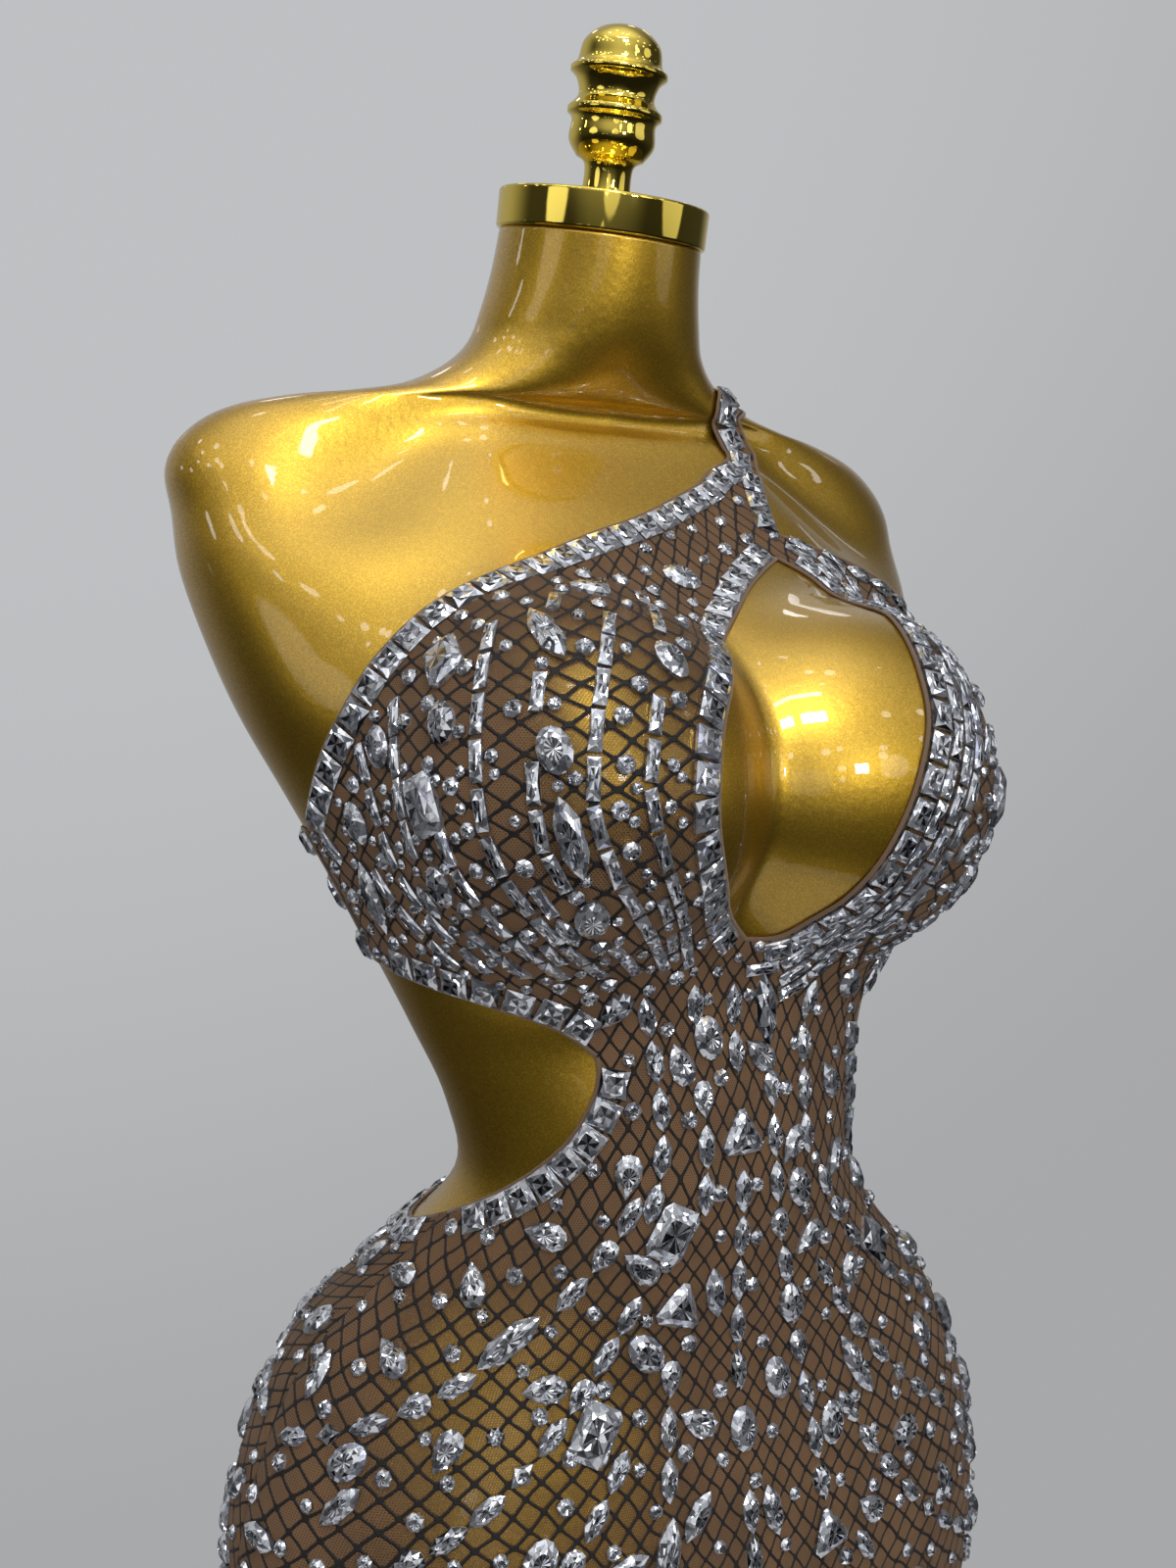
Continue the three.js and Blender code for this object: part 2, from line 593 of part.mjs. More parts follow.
function makeFront() {
  const right = -SIDE_SEAM + SEAM_HALF;
  const left = SIDE_SEAM - SEAM_HALF;
  const rows = NECKLINE.map((row) => atUp(row.around, row.up));
  const overShoulder = (line) => line.filter((p, k) => k >= 12 && k % 6 === 0 && p.x < SHOULDER_SEAM + 12);
  const neckline = smoothPoints([...rows, ...overShoulder(strapInner)], 7);
  const strapEdge = smoothPoints([atUp(41.5, 297), ...overShoulder(strapOuter)], 7);
  const leftEdge = smooth(LEFT_EDGE);
  const [cutTop, cutLow] = [smooth(LEFT_CUT_TOP), smooth(LEFT_CUT_LOW)];
  const [cutTopRight, cutLowRight] = [smooth(mirrored(CUT_TOP)), smooth(mirrored(CUT_LOW))];
  const outline = [
    atUp(-100, HEM_UP),
    atUp(100, HEM_UP),
    new THREE.Vector2(100, cutLow.at(-1).y),
    ...cutLow.toReversed(),
    ...cutTop.toReversed().slice(1),
    new THREE.Vector2(100, cutTop[0].y),
    new THREE.Vector2(100, leftEdge.at(-1).y),
    ...leftEdge.toReversed(),
    ...strapEdge.slice(1),
    ...neckline.toReversed(),
    new THREE.Vector2(-100, neckline[0].y),
    new THREE.Vector2(-100, cutTopRight[0].y),
    ...cutTopRight,
    ...cutLowRight.slice(1),
    new THREE.Vector2(-100, cutLowRight.at(-1).y),
  ];
  const keyLeft = smooth(KEYHOLE_LEFT);
  const keyRight = smooth(KEYHOLE_RIGHT);
  const sides = CrossSection.square([left - right, 1000]).translate([right, -100]);
  const keyhole = flatShape([...keyLeft, ...keyRight.slice(1, -1)]);
  const shape = flatShape(outline).subtract(keyhole).intersect(sides);
  const stones = [
    ...stoneRow("square", between(neckline, -87, 86), { inset: 7, pitch: 13.2, side: -1 }),
    ...stoneRow("square", strapEdge.filter((p) => p.y < 20.6 * ROW), { inset: 7, pitch: 13.2 }),
    ...stoneRow("square", keyLeft, { inset: 7.5, pitch: 13.2, ends: 3, side: -1 }),
    ...stoneRow("square", between(cutTop, 0, 87), { inset: 7.5, pitch: 13.4, ends: 6, side: -1 }),
    ...stoneRow("square", between(cutLow, 0, 87), { inset: 7.5, pitch: 13.4, ends: 6, side: -1 }),
    ...stoneRow("square", between(cutTopRight, -87, 0), { inset: 7.5, pitch: 13.4, ends: 6 }),
    ...stoneRow("square", between(cutLowRight, -87, 0), { inset: 7.5, pitch: 13.4, ends: 6 }),
    ...scatter(CUP_ROWS, ["oval", "oval", "octagon", "navette", "oval"]),
    ...scatter(FRONT_ROWS, ["oval", "navette", "triangle", "oval", "octagon"]),
  ];
  cloth("dress_front", slab(-90, 97.5), shape, stones, MESH_CLOTH);
}

function makeBack() {
  const [from, to] = [SIDE_SEAM + SEAM_HALF, 360 - SIDE_SEAM - SEAM_HALF];
  const half = smooth(SKIRT_BACK_TOP);
  const otherHalf = half.map((p) => new THREE.Vector2(360 - p.x, p.y)).reverse().slice(1);
  const top = [atUp(80, -13), ...half, ...otherHalf, atUp(280, -13)];
  const sides = CrossSection.square([to - from, 1000]).translate([from, -100]);
  const skirt = flatShape([atUp(80, HEM_UP), atUp(280, HEM_UP), ...top.reverse()]);
  const stones = scatter(BACK_ROWS, ["oval", "navette", "triangle", "oval", "octagon"]);
  cloth("dress_back", slab(90, 270), skirt.intersect(sides), stones, MESH_CLOTH);
  const [low, high] = [placeOf(BAND.low) * ROW, placeOf(BAND.high) * ROW];
  const band = CrossSection.square([to - from, high - low]).translate([from, low]);
  cloth("back_band", slab(90, 270), band, [], MESH_CLOTH);
  const ribbon = flatShape([...strapInner, ...strapOuter.toReversed()]);
  const start = SHOULDER_SEAM + SHOULDER_GAP;
  const gap = 0.3 / 35 * ROW;
  const window = CrossSection.square([200 - start, 1000]).translate([start, high + gap]);
  cloth("back_strap", slab(90, 195), ribbon.intersect(window), [], MESH_CLOTH);
}

/** A turned piece from a profile, foot to top. */
function turned(profile, sides) {
  return loft(
    profile.map(({ radius, rise }) =>
      Array.from({ length: sides }, (_, k) => {
        const angle = (k / sides) * 2 * Math.PI;
        return new THREE.Vector3(radius * Math.cos(angle), radius * Math.sin(angle), rise);
      }),
    ),
  );
}

function makeNeckFurniture() {
  const neck = FORM_SECTIONS.at(-1);
  const lean = neck.lean * DEG;
  const axis = new THREE.Vector3(0, -Math.sin(lean), Math.cos(lean));
  const onAxis = (geometry, rise) => {
    const at = new THREE.Vector3(0, neck.centre, WAIST + neck.up).addScaledVector(axis, rise);
    return geometry.rotateX(lean).translate(at.x, at.y, at.z);
  };
  add("neck_cap", onAxis(turned(NECK_CAP, 30), SEAT_GAP), GOLD_METAL);
  add("finial", onAxis(turned(FINIAL, 16), NECK_CAP.at(-1).rise + 2 * SEAT_GAP), GOLD_METAL);
}

function makeStand() {
  const foot = WAIST + FORM_SECTIONS[0].up - SEAT_GAP;
  const seat = BASE_THICK + SEAT_GAP;
  const pole = [
    { radius: FLANGE.radius, rise: seat },
    { radius: FLANGE.radius, rise: seat + FLANGE.thick },
    { radius: POLE_RADIUS, rise: seat + 2 * FLANGE.thick },
    { radius: POLE_RADIUS, rise: foot - 2 * FLANGE.thick },
    { radius: FLANGE.radius, rise: foot - FLANGE.thick },
    { radius: FLANGE.radius, rise: foot },
  ];
  const base = [
    { radius: BASE_RADIUS - 2, rise: 0 },
    { radius: BASE_RADIUS, rise: 2 },
    { radius: BASE_RADIUS, rise: BASE_THICK - 2 },
    { radius: BASE_RADIUS - 2, rise: BASE_THICK },
  ];
  add("stand_pole", turned(pole, 24), STEEL);
  add("stand_base", turned(base, 40), STEEL);
}

makeStand();
makeForm();
makeNeckFurniture();
makeFront();
makeBack();

export default object;
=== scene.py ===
"""A rhinestone mini dress of black net over brown mesh, on a smooth gold display form with a round stand."""

from __future__ import annotations

import logging
import math
from dataclasses import dataclass, field
from enum import Enum
from typing import NamedTuple

import bpy
import numpy as np
from mathutils import Euler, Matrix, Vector
from mathutils.geometry import delaunay_2d_cdt

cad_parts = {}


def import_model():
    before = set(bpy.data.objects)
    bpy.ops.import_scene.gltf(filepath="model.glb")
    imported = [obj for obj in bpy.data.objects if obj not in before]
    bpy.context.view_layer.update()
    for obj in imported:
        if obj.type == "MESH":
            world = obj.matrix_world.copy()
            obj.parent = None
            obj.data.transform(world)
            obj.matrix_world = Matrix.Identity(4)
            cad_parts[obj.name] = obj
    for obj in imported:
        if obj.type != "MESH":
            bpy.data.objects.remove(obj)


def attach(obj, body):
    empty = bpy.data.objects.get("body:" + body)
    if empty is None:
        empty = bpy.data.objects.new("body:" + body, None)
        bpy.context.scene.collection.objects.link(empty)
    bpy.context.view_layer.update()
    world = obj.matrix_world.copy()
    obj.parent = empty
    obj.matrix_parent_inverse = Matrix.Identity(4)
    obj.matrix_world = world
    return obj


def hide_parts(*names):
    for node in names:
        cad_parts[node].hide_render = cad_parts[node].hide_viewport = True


LOG = logging.getLogger("dress")
MM = 0.001

# Heights over the floor and, for what is named up, over the waist.
WAIST = 640.0
HEM_UP = -390.0
LOWEST_UP = HEM_UP + 4

# The cloth's distance from the form, its thickness, and its seams in degrees round.
CLOTH_GAP = 0.6
CLOTH = 0.5
SIDE_SEAM = 90.0
SEAM_HALF = 0.06
STRAP_WIDTH = 20.0

# Flat points are degrees round, and rows of the form's table times ROW. FLAT_MM is about how many millimetres
# one of each is on the form.
ROW = 16.0
FLAT_MM = (2.4, 2.2)

Colour = tuple[float, float, float]
Line = list[tuple[float, float]]


class Section(NamedTuple):
    """A level ring of the form: its height over the waist, half width, depths, centre, squareness, lean."""

    up: float
    half: float
    front: float
    back: float
    centre: float
    square: float
    lean: float


SECTIONS = tuple(Section(*row) for row in (
    (-420, 152, 96, 97, -5, 2.1, 0), (-390, 158, 98, 102, -5, 2.1, 0), (-345, 169, 101, 112, -5, 2.1, 0),
    (-300, 180, 104, 124, -6, 2.1, 0), (-250, 190, 107, 136, -8, 2.1, 0), (-200, 197, 108, 143, -9, 2.1, 0),
    (-155, 195, 106, 143, -9, 2.1, 0), (-115, 184, 102, 134, -7, 2.1, 0), (-75, 163, 95, 114, -7, 2.1, 0),
    (-38, 127, 86, 88, -16, 2.1, 0), (0, 98, 76, 65, -29, 2.1, 0), (35, 102, 74, 64, -29, 2.1, 0),
    (70, 116, 77, 69, -21, 2.1, 0), (105, 131, 84, 76, -10, 2.1, 0), (140, 146, 90, 83, 3, 2.1, 0),
    (175, 163, 98, 86, 15, 2.1, 0), (210, 180, 105, 83, 27, 2.15, 0), (244, 192, 107, 78, 40, 2.15, 0),
    (276, 200, 100, 71, 52, 2.2, 0), (302, 202, 85, 66, 58, 2.2, 0), (322, 204, 72, 60, 62, 2.2, 0),
    (337, 197, 61, 53, 62, 2.15, 0), (350, 180, 53, 48, 60, 2.1, 0), (357, 156, 48, 47, 56, 2.05, 0),
    (361, 128, 46, 47, 50, 2, 0), (367, 99, 47, 49, 46, 2, 0), (378, 76, 49, 50, 42, 2, 2),
    (391, 62, 50, 50, 37, 2, 5), (407, 56, 50, 50, 32, 2, 9), (425, 52, 49.5, 49.5, 27, 2, 12),
    (443, 50, 48.5, 48.5, 22, 2, 14),
))


class Rows(NamedTuple):
    """A row of a line's table: degrees round from the centre front, and the height over the waist."""

    around: float
    up: float


def rows(*pairs: tuple[float, float]) -> tuple[Rows, ...]:
    """A line's table."""
    return tuple(Rows(*pair) for pair in pairs)


def unit(vectors: np.ndarray) -> np.ndarray:
    """The vectors' directions, each of length one."""
    return vectors / np.linalg.norm(vectors, axis=1, keepdims=True)


def split(flat: np.ndarray) -> tuple[np.ndarray, np.ndarray]:
    """The degrees round and the places along the table of flat points."""
    return flat[:, 0], flat[:, 1] / ROW


def lengths_along(points: np.ndarray) -> np.ndarray:
    """How far along a line of points each one is."""
    return np.concatenate([[0], np.cumsum(np.linalg.norm(np.diff(points, axis=0), axis=1))])


NECKLINE = rows((-90, 158), (-80, 180), (-69, 210), (-61, 235), (-52, 257), (-40, 274), (-23, 291),
                (-5, 302), (11, 312), (27, 322), (36, 330))
LEFT_EDGE = rows((42, 298), (53, 290), (63, 279), (72, 262), (79, 234), (85, 196), (90, 162))
KEYHOLE_LEFT = rows((34, 284), (15, 265), (1, 242), (-10, 213), (-13.5, 187), (-13.5, 160), (-8.5, 134),
                    (2.5, 114))
KEYHOLE_RIGHT = rows((2.5, 114), (11, 115), (15, 126), (16.5, 143), (17.5, 163), (19, 186), (21, 208),
                     (23, 231), (27, 249), (35, 263), (38, 275), (34, 284))
CUT_TOP = rows((90, 100), (77, 95), (63, 88), (52, 79), (44, 66))
CUT_LOW = rows((44, 66), (44.5, 57), (48, 45), (56, 28), (71, 8), (90, -13))
LEFT_CUT_TOP = rows((90, 100), (80, 98), (70, 93), (62, 84), (58, 70))
LEFT_CUT_LOW = rows((58, 70), (59, 48), (64, 24), (76, 3), (90, -13))
SKIRT_BACK_TOP = rows((90, -13), (105, -24), (125, -20), (150, -4), (180, 4))
BAND_LOW, BAND_HIGH = 100.0, 159.0

# How far from a side seam the bindings end, in degrees.
BINDING_END = 0.5

# The strap's middle over the shoulder: degrees round, and rows of the form's table.
STRAP_LINE = ((44, 20.0), (51, 20.9), (55, 22.0), (59, 23.6), (64, 24.8), (78, 25.6), (96, 25.7), (118, 24.1),
              (134, 21.5), (150, 18.5), (163, 16.2), (170, 14.6))


@dataclass
class FormShape:
    """The surface of the display form, in millimetres, by degrees round and by place along its sections."""

    bust_x: float = 73.0
    bust_y: float = -65.0
    bust_up: float = 180.0
    bust_rx: float = 70.0
    bust_rx_inner: float = 105.0
    bust_ry: float = 85.0
    bust_rz: float = 82.0
    blend_torso: float = 34.0
    blend_each_other: float = 6.0
    table: np.ndarray = field(default_factory=lambda: np.array(SECTIONS, float))

    def section(self, place: np.ndarray) -> np.ndarray:
        """The section at each place, by a Catmull-Rom spline through the table.

        Args:
            place: Places along the table, counted in rows.

        Returns:
            One row of seven values for each place.
        """
        last = len(self.table) - 1
        i = np.clip(np.floor(place).astype(int), 0, last - 1)
        f = (place - i)[:, None]
        a, b, c, d = (self.table[np.clip(k, 0, last)] for k in (i - 1, i, i + 1, i + 2))
        return b + 0.5 * f * (c - a + f * (2 * a - 5 * b + 4 * c - d + f * (3 * (b - c) + d - a)))

    @staticmethod
    def soft_min(a: np.ndarray, b: np.ndarray, blend: float) -> np.ndarray:
        """A rounded minimum of two distances.

        Args:
            a: One distance.
            b: The other distance.
            blend: How wide the rounding is.

        Returns:
            The rounded minimum.
        """
        h = np.clip(0.5 + 0.5 * (b - a) / blend, 0, 1)
        return b + (a - b) * h - blend * h * (1 - h)

    def points(self, around: np.ndarray, place: np.ndarray) -> np.ndarray:
        """Points of the surface.

        Args:
            around: Degrees round from the centre front towards the left.
            place: Places along the table, as many as around.

        Returns:
            An array of points, one row each.
        """
        around, place = np.asarray(around, float).ravel(), np.asarray(place, float).ravel()
        up, half, front, back, centre, square, lean = self.section(place).T
        sin, cos = np.sin(np.radians(around)), np.cos(np.radians(around))
        depth = np.where(cos > 0, front, back)
        edge = (np.abs(sin / half) ** square + np.abs(cos / depth) ** square) ** (-1 / square)
        low, high = np.zeros_like(edge), np.full_like(edge, 260.0)
        for _ in range(28):
            mid = (low + high) / 2
            x, y = mid * sin, centre - mid * cos
            cups = []
            for side in (-1, 1):
                reach = np.where(side * x < self.bust_x, self.bust_rx_inner, self.bust_rx)
                q = np.sqrt(((x - side * self.bust_x) / reach) ** 2 + ((y - self.bust_y) / self.bust_ry) ** 2
                            + ((up - self.bust_up) / self.bust_rz) ** 2)
                cups.append((q - 1) * self.bust_rx)
            bust = self.soft_min(cups[0], cups[1], self.blend_each_other)
            outside = self.soft_min(mid - edge, bust, self.blend_torso)
            high = np.where(outside > 0, mid, high)
            low = np.where(outside > 0, low, mid)
        dy = -low * cos
        return np.stack([low * sin, centre + dy, WAIST + up + np.tan(np.radians(lean)) * dy], -1)

    def slopes(self, around: np.ndarray, place: np.ndarray) -> tuple[np.ndarray, np.ndarray, np.ndarray]:
        """The directions along and out from the surface.

        Args:
            around: Degrees round.
            place: Places along the table.

        Returns:
            The step per degree round, the step per row up, and the outward unit direction.
        """
        around, place = np.asarray(around, float).ravel(), np.asarray(place, float).ravel()
        low, high = np.maximum(place - 0.02, 0), np.minimum(place + 0.02, len(self.table) - 1)
        turn = (self.points(around + 0.4, place) - self.points(around - 0.4, place)) / 0.8
        rise = (self.points(around, high) - self.points(around, low)) / (high - low)[:, None]
        return turn, rise, unit(np.cross(turn, rise))

    def over(self, flat: np.ndarray, out: float) -> np.ndarray:
        """Points over the surface.

        Args:
            flat: Flat points: degrees round, and rows times ROW.
            out: How far out, in millimetres.

        Returns:
            The points, one row each.
        """
        return self.points(*split(flat)) + self.slopes(*split(flat))[2] * out

    def place_of(self, up: float) -> float:
        """Where a height above the waist is along the table, below the neck."""
        low, high = 0.0, len(self.table) - 1.0
        for _ in range(40):
            mid = (low + high) / 2
            if self.section(np.array([mid]))[0, 0] > up:
                high = mid
            else:
                low = mid
        return low

    def flat(self, rows: tuple[Rows, ...]) -> np.ndarray:
        """A table's rows as flat points."""
        return np.array([(row.around, self.place_of(row.up) * ROW) for row in rows])

    def step(self, flat: np.ndarray, offset: np.ndarray) -> np.ndarray:
        """The flat steps that lead along given offsets on the surface.

        Args:
            flat: Flat points.
            offset: An offset in millimetres for each point.

        Returns:
            The flat step for each point.
        """
        turn, rise, _ = self.slopes(*split(flat))
        uu, uv, vv = (np.sum(p * q, 1) for p, q in ((turn, turn), (turn, rise), (rise, rise)))
        a, b = np.sum(turn * offset, 1), np.sum(rise * offset, 1)
        det = uu * vv - uv * uv
        return np.stack([(a * vv - b * uv) / det, (b * uu - a * uv) / det * ROW], -1)

    def beside(self, line: np.ndarray, distance: float) -> np.ndarray:
        """A flat line moved sideways, to its left as it runs.

        Args:
            line: The flat line.
            distance: How far, in millimetres on the surface.

        Returns:
            The moved line.
        """
        turn, rise, out = self.slopes(*split(line))
        delta = np.gradient(line, axis=0)
        along = unit(turn * delta[:, :1] + rise * delta[:, 1:] / ROW)
        return line + self.step(line, np.cross(out, along) * distance)


def smooth(points: np.ndarray, steps: int = 8) -> np.ndarray:
    """A smooth line through points.

    Args:
        points: The points, one row each.
        steps: How many steps from each point to the next.

    Returns:
        The line's points.
    """
    last = len(points) - 1
    t = np.linspace(0, last, last * steps + 1)
    i = np.minimum(t.astype(int), last - 1)
    f = (t - i)[:, None]
    a, b, c, d = points[np.maximum(i - 1, 0)], points[i], points[i + 1], points[np.minimum(i + 2, last)]
    v, w = (c - a) / 2, (d - b) / 2
    return (2 * b - 2 * c + v + w) * f**3 + (3 * c - 3 * b - 2 * v - w) * f**2 + v * f + b


def mirrored(line: np.ndarray) -> np.ndarray:
    """A flat line on the other side of the centre front."""
    return line * np.array([-1.0, 1.0])


def inside(points: np.ndarray, loops: list[np.ndarray]) -> np.ndarray:
    """Which flat points lie inside closed loops, holes left out.

    Args:
        points: The flat points.
        loops: The outline and its holes.

    Returns:
        True for each point inside.
    """
    odd = np.zeros(len(points), bool)
    x, y = points[:, :1], points[:, 1:2]
    for loop in loops:
        a, b = loop, np.roll(loop, -1, 0)
        crosses = (a[:, 1] > y) != (b[:, 1] > y)
        rise = np.where(b[:, 1] == a[:, 1], 1.0, b[:, 1] - a[:, 1])
        at = a[:, 0] + (y - a[:, 1]) / rise * (b[:, 0] - a[:, 0])
        odd ^= (np.sum(crosses & (x < at), 1) % 2).astype(bool)
    return odd


# ---- Nodes ----
FLOAT = "NodeSocketFloat"


class Wiring:
    """Places nodes in a tree and joins their sockets."""

    def __init__(self, tree: bpy.types.NodeTree) -> None:
        """Takes the tree that the nodes go into."""
        self.tree = tree

    def node(self, kind: str, inputs: dict | None = None, **settings) -> bpy.types.Node:
        """A new node.

        Args:
            kind: The node's type name.
            inputs: For each input's name or number, a value or the socket that feeds it.
            settings: The node's own settings.

        Returns:
            The node.
        """
        made = self.tree.nodes.new(kind)
        for name, value in settings.items():
            setattr(made, name, value)
        self.fill(made, inputs or {})
        return made

    def fill(self, node: bpy.types.Node, inputs: dict) -> None:
        """Feeds a node's inputs, each by its name or number."""
        for name, value in inputs.items():
            self.feed(node.inputs[name], value)

    def feed(self, socket: bpy.types.NodeSocket, value: object) -> None:
        """Joins a socket to another, or sets its value."""
        if isinstance(value, bpy.types.NodeSocket):
            self.tree.links.new(value, socket)
        else:
            socket.default_value = value

    def math(self, operation: str, *values: object) -> bpy.types.NodeSocket:
        """The result of a sum on numbers or sockets."""
        return self.node("ShaderNodeMath", dict(enumerate(values)), operation=operation).outputs[0]

    def vector(self, operation: str, *values: object, **named: object) -> bpy.types.NodeSocket:
        """The vector that a sum on vectors gives."""
        inputs = {**dict(enumerate(values)), **named}
        return self.node("ShaderNodeVectorMath", inputs, operation=operation).outputs[0]

    def attribute(self, name: str, output: str = "Fac") -> bpy.types.NodeSocket:
        """A value that the piece's points or faces carry."""
        return self.node("ShaderNodeAttribute", attribute_name=name).outputs[output]

    def effect(self, name: str, **inputs: object) -> bpy.types.bpy_prop_collection:
        """The outputs of a node group. An input's name has its spaces written as low lines."""
        named = {key.replace("_", " "): value for key, value in inputs.items()}
        return self.node("ShaderNodeGroup", named, node_tree=Effects.get(name)).outputs

    def map_range(self, value: object, start: object, end: object, low: float, high: float,
                  easing: str = "LINEAR") -> bpy.types.NodeSocket:
        """A value moved from one range to another.

        Args:
            value: The value.
            start: Where its own range starts.
            end: Where its own range ends.
            low: What the start becomes.
            high: What the end becomes.
            easing: How it goes from one to the other.

        Returns:
            The moved value.
        """
        inputs = dict(enumerate((value, start, end, low, high)))
        return self.node("ShaderNodeMapRange", inputs, interpolation_type=easing).outputs[0]

    def bump(self, height: object, strength: float, distance: float) -> bpy.types.NodeSocket:
        """The normal of a relief, its distance in metres."""
        inputs = {"Height": height, "Strength": strength, "Distance": distance}
        return self.node("ShaderNodeBump", inputs).outputs[0]

    def ramp(self, fac: bpy.types.NodeSocket, stops: list[tuple[float, Colour]]) -> bpy.types.NodeSocket:
        """Colours along a range.

        Args:
            fac: What the range follows.
            stops: Each colour with its place.

        Returns:
            The colour.
        """
        made = self.node("ShaderNodeValToRGB", {0: fac})
        ramp = made.color_ramp
        while len(ramp.elements) < len(stops):
            ramp.elements.new(0.5)
        for element, (place, colour) in zip(ramp.elements, stops):
            element.position = place
            element.color = (*colour, 1)
        return made.outputs[0]

    def mix(self, fac: object, a: object, b: object) -> bpy.types.NodeSocket:
        """A colour between two others."""
        made = self.node("ShaderNodeMix", data_type="RGBA")
        for socket, value in ((made.inputs[0], fac), (made.inputs[6], a), (made.inputs[7], b)):
            self.feed(socket, value if isinstance(value, (bpy.types.NodeSocket, float)) else (*value, 1))
        return made.outputs[2]


def group(name: str, inputs: dict[str, float | None], outputs: dict[str, str]) -> tuple[Wiring, dict, dict]:
    """An empty shader node group.

    Args:
        name: The group's name.
        inputs: Each input's starting value, or None for a vector.
        outputs: Each output's socket type.

    Returns:
        The group's wiring, its input sockets by name, and the sockets that its outputs take.
    """
    tree = bpy.data.node_groups.new(name, "ShaderNodeTree")
    for key, value in inputs.items():
        kind = "NodeSocketVector" if value is None else FLOAT
        socket = tree.interface.new_socket(key, in_out="INPUT", socket_type=kind)
        if value is not None:
            socket.default_value = value
    for key, kind in outputs.items():
        tree.interface.new_socket(key, in_out="OUTPUT", socket_type=kind)
    wiring = Wiring(tree)
    into, out = wiring.node("NodeGroupInput"), wiring.node("NodeGroupOutput")
    return wiring, into.outputs, out.inputs


def knit_group() -> bpy.types.NodeTree:
    """Fine knitted loops in staggered rows: their height, and the small holes between them."""
    w, into, out = group("knit_loops", {"Vector": None, "Pitch": 1.2}, {"Height": FLOAT, "Hole": FLOAT})
    cell = w.vector("DIVIDE", into["Vector"], into["Pitch"])
    parts = w.node("ShaderNodeSeparateXYZ", {0: cell})
    turns = 2 * math.pi
    row_share = 0.577
    across = w.math("MULTIPLY", parts.outputs[0], turns)
    along = w.math("MULTIPLY", parts.outputs[1], turns * row_share)
    one = w.math("COSINE", w.math("ADD", across, along))
    two = w.math("COSINE", w.math("SUBTRACT", across, along))
    three = w.math("COSINE", w.math("MULTIPLY", along, 2.0))
    total = w.math("DIVIDE", w.math("ADD", w.math("ADD", one, two), three), 3.0)
    hole = w.map_range(total, 0.1, 0.75, 0.0, 1.0, "SMOOTHSTEP")
    w.feed(out["Hole"], hole)
    w.feed(out["Height"], w.math("SUBTRACT", 1.0, hole))
    return w.tree


def net_group() -> bpy.types.NodeTree:
    """The cords of a diamond net, with a small knot where they cross."""
    inputs = {"Vector": None, "Half Width": 0.072, "Wander": 0.1}
    w, into, out = group("net_cords", inputs, {"Cord": FLOAT, "Height": FLOAT})
    noise = w.node("ShaderNodeTexNoise", {"Vector": into["Vector"], "Scale": 0.55, "Detail": 1.0},
                   noise_dimensions="2D")
    centred = w.vector("SUBTRACT", noise.outputs["Color"], (0.5, 0.5, 0.5))
    shift = w.vector("SCALE", centred, Scale=w.math("MULTIPLY", into["Wander"], 4.0))
    parts = w.node("ShaderNodeSeparateXYZ", {0: w.vector("ADD", into["Vector"], shift)})
    gaps = []
    for operation in ("ADD", "SUBTRACT"):
        total = w.math(operation, parts.outputs[0], parts.outputs[1])
        near = w.math("ABSOLUTE", w.math("SUBTRACT", w.math("FRACT", w.math("ADD", total, 0.5)), 0.5))
        gaps.append(near)
    nearest = w.math("MINIMUM", *gaps)
    whole_width = w.math("MULTIPLY", into["Half Width"], 2.0)
    knot = w.math("MULTIPLY", w.math("SUBTRACT", w.math("ADD", *gaps), whole_width), 0.8)
    reach = w.math("MINIMUM", nearest, knot)
    inner, outer = (w.math("MULTIPLY", into["Half Width"], share) for share in (0.7, 1.3))
    w.feed(out["Cord"], w.map_range(reach, inner, outer, 1.0, 0.0, "SMOOTHSTEP"))
    w.feed(out["Height"], w.map_range(reach, 0.0, outer, 1.0, 0.0, "SMOOTHERSTEP"))
    return w.tree


def handling_group() -> bpy.types.NodeTree:
    """The faint smears that a handled surface carries, as a change of roughness, and a fine ripple."""
    inputs = {"Vector": None, "Roughness": 0.3, "Spread": 0.1, "Ripple Scale": 300.0}
    w, into, out = group("handling", inputs, {"Roughness": FLOAT, "Ripple": FLOAT})
    place = into["Vector"]
    smear = w.node("ShaderNodeTexNoise", {"Vector": place, "Scale": 9.0, "Detail": 5.0, "Distortion": 0.6})
    centred = w.math("SUBTRACT", smear.outputs[0], 0.5)
    w.feed(out["Roughness"], w.math("MULTIPLY_ADD", centred, into["Spread"], into["Roughness"]))
    ripple = w.node("ShaderNodeTexNoise", {"Vector": place, "Scale": into["Ripple Scale"], "Detail": 2.0})
    w.feed(out["Ripple"], ripple.outputs[0])
    return w.tree


class Effects:
    """The shader node groups, each built once."""

    made: dict[str, bpy.types.NodeTree] = {}

    @classmethod
    def get(cls, name: str) -> bpy.types.NodeTree:
        """The group of that name."""
        if name not in cls.made:
            cls.made[name] = {"knit": knit_group, "net": net_group, "handling": handling_group}[name]()
        return cls.made[name]


def new_material(name: str) -> tuple[bpy.types.Material, Wiring, bpy.types.Node]:
    """An empty material with a Principled shader.

    Args:
        name: The material's name.

    Returns:
        The material, its wiring and the shader.
    """
    material = bpy.data.materials.new(name)
    material.use_nodes = True
    material.node_tree.nodes.clear()
    w = Wiring(material.node_tree)
    shader = w.node("ShaderNodeBsdfPrincipled")
    w.node("ShaderNodeOutputMaterial", {"Surface": shader.outputs[0]})
    return material, w, shader


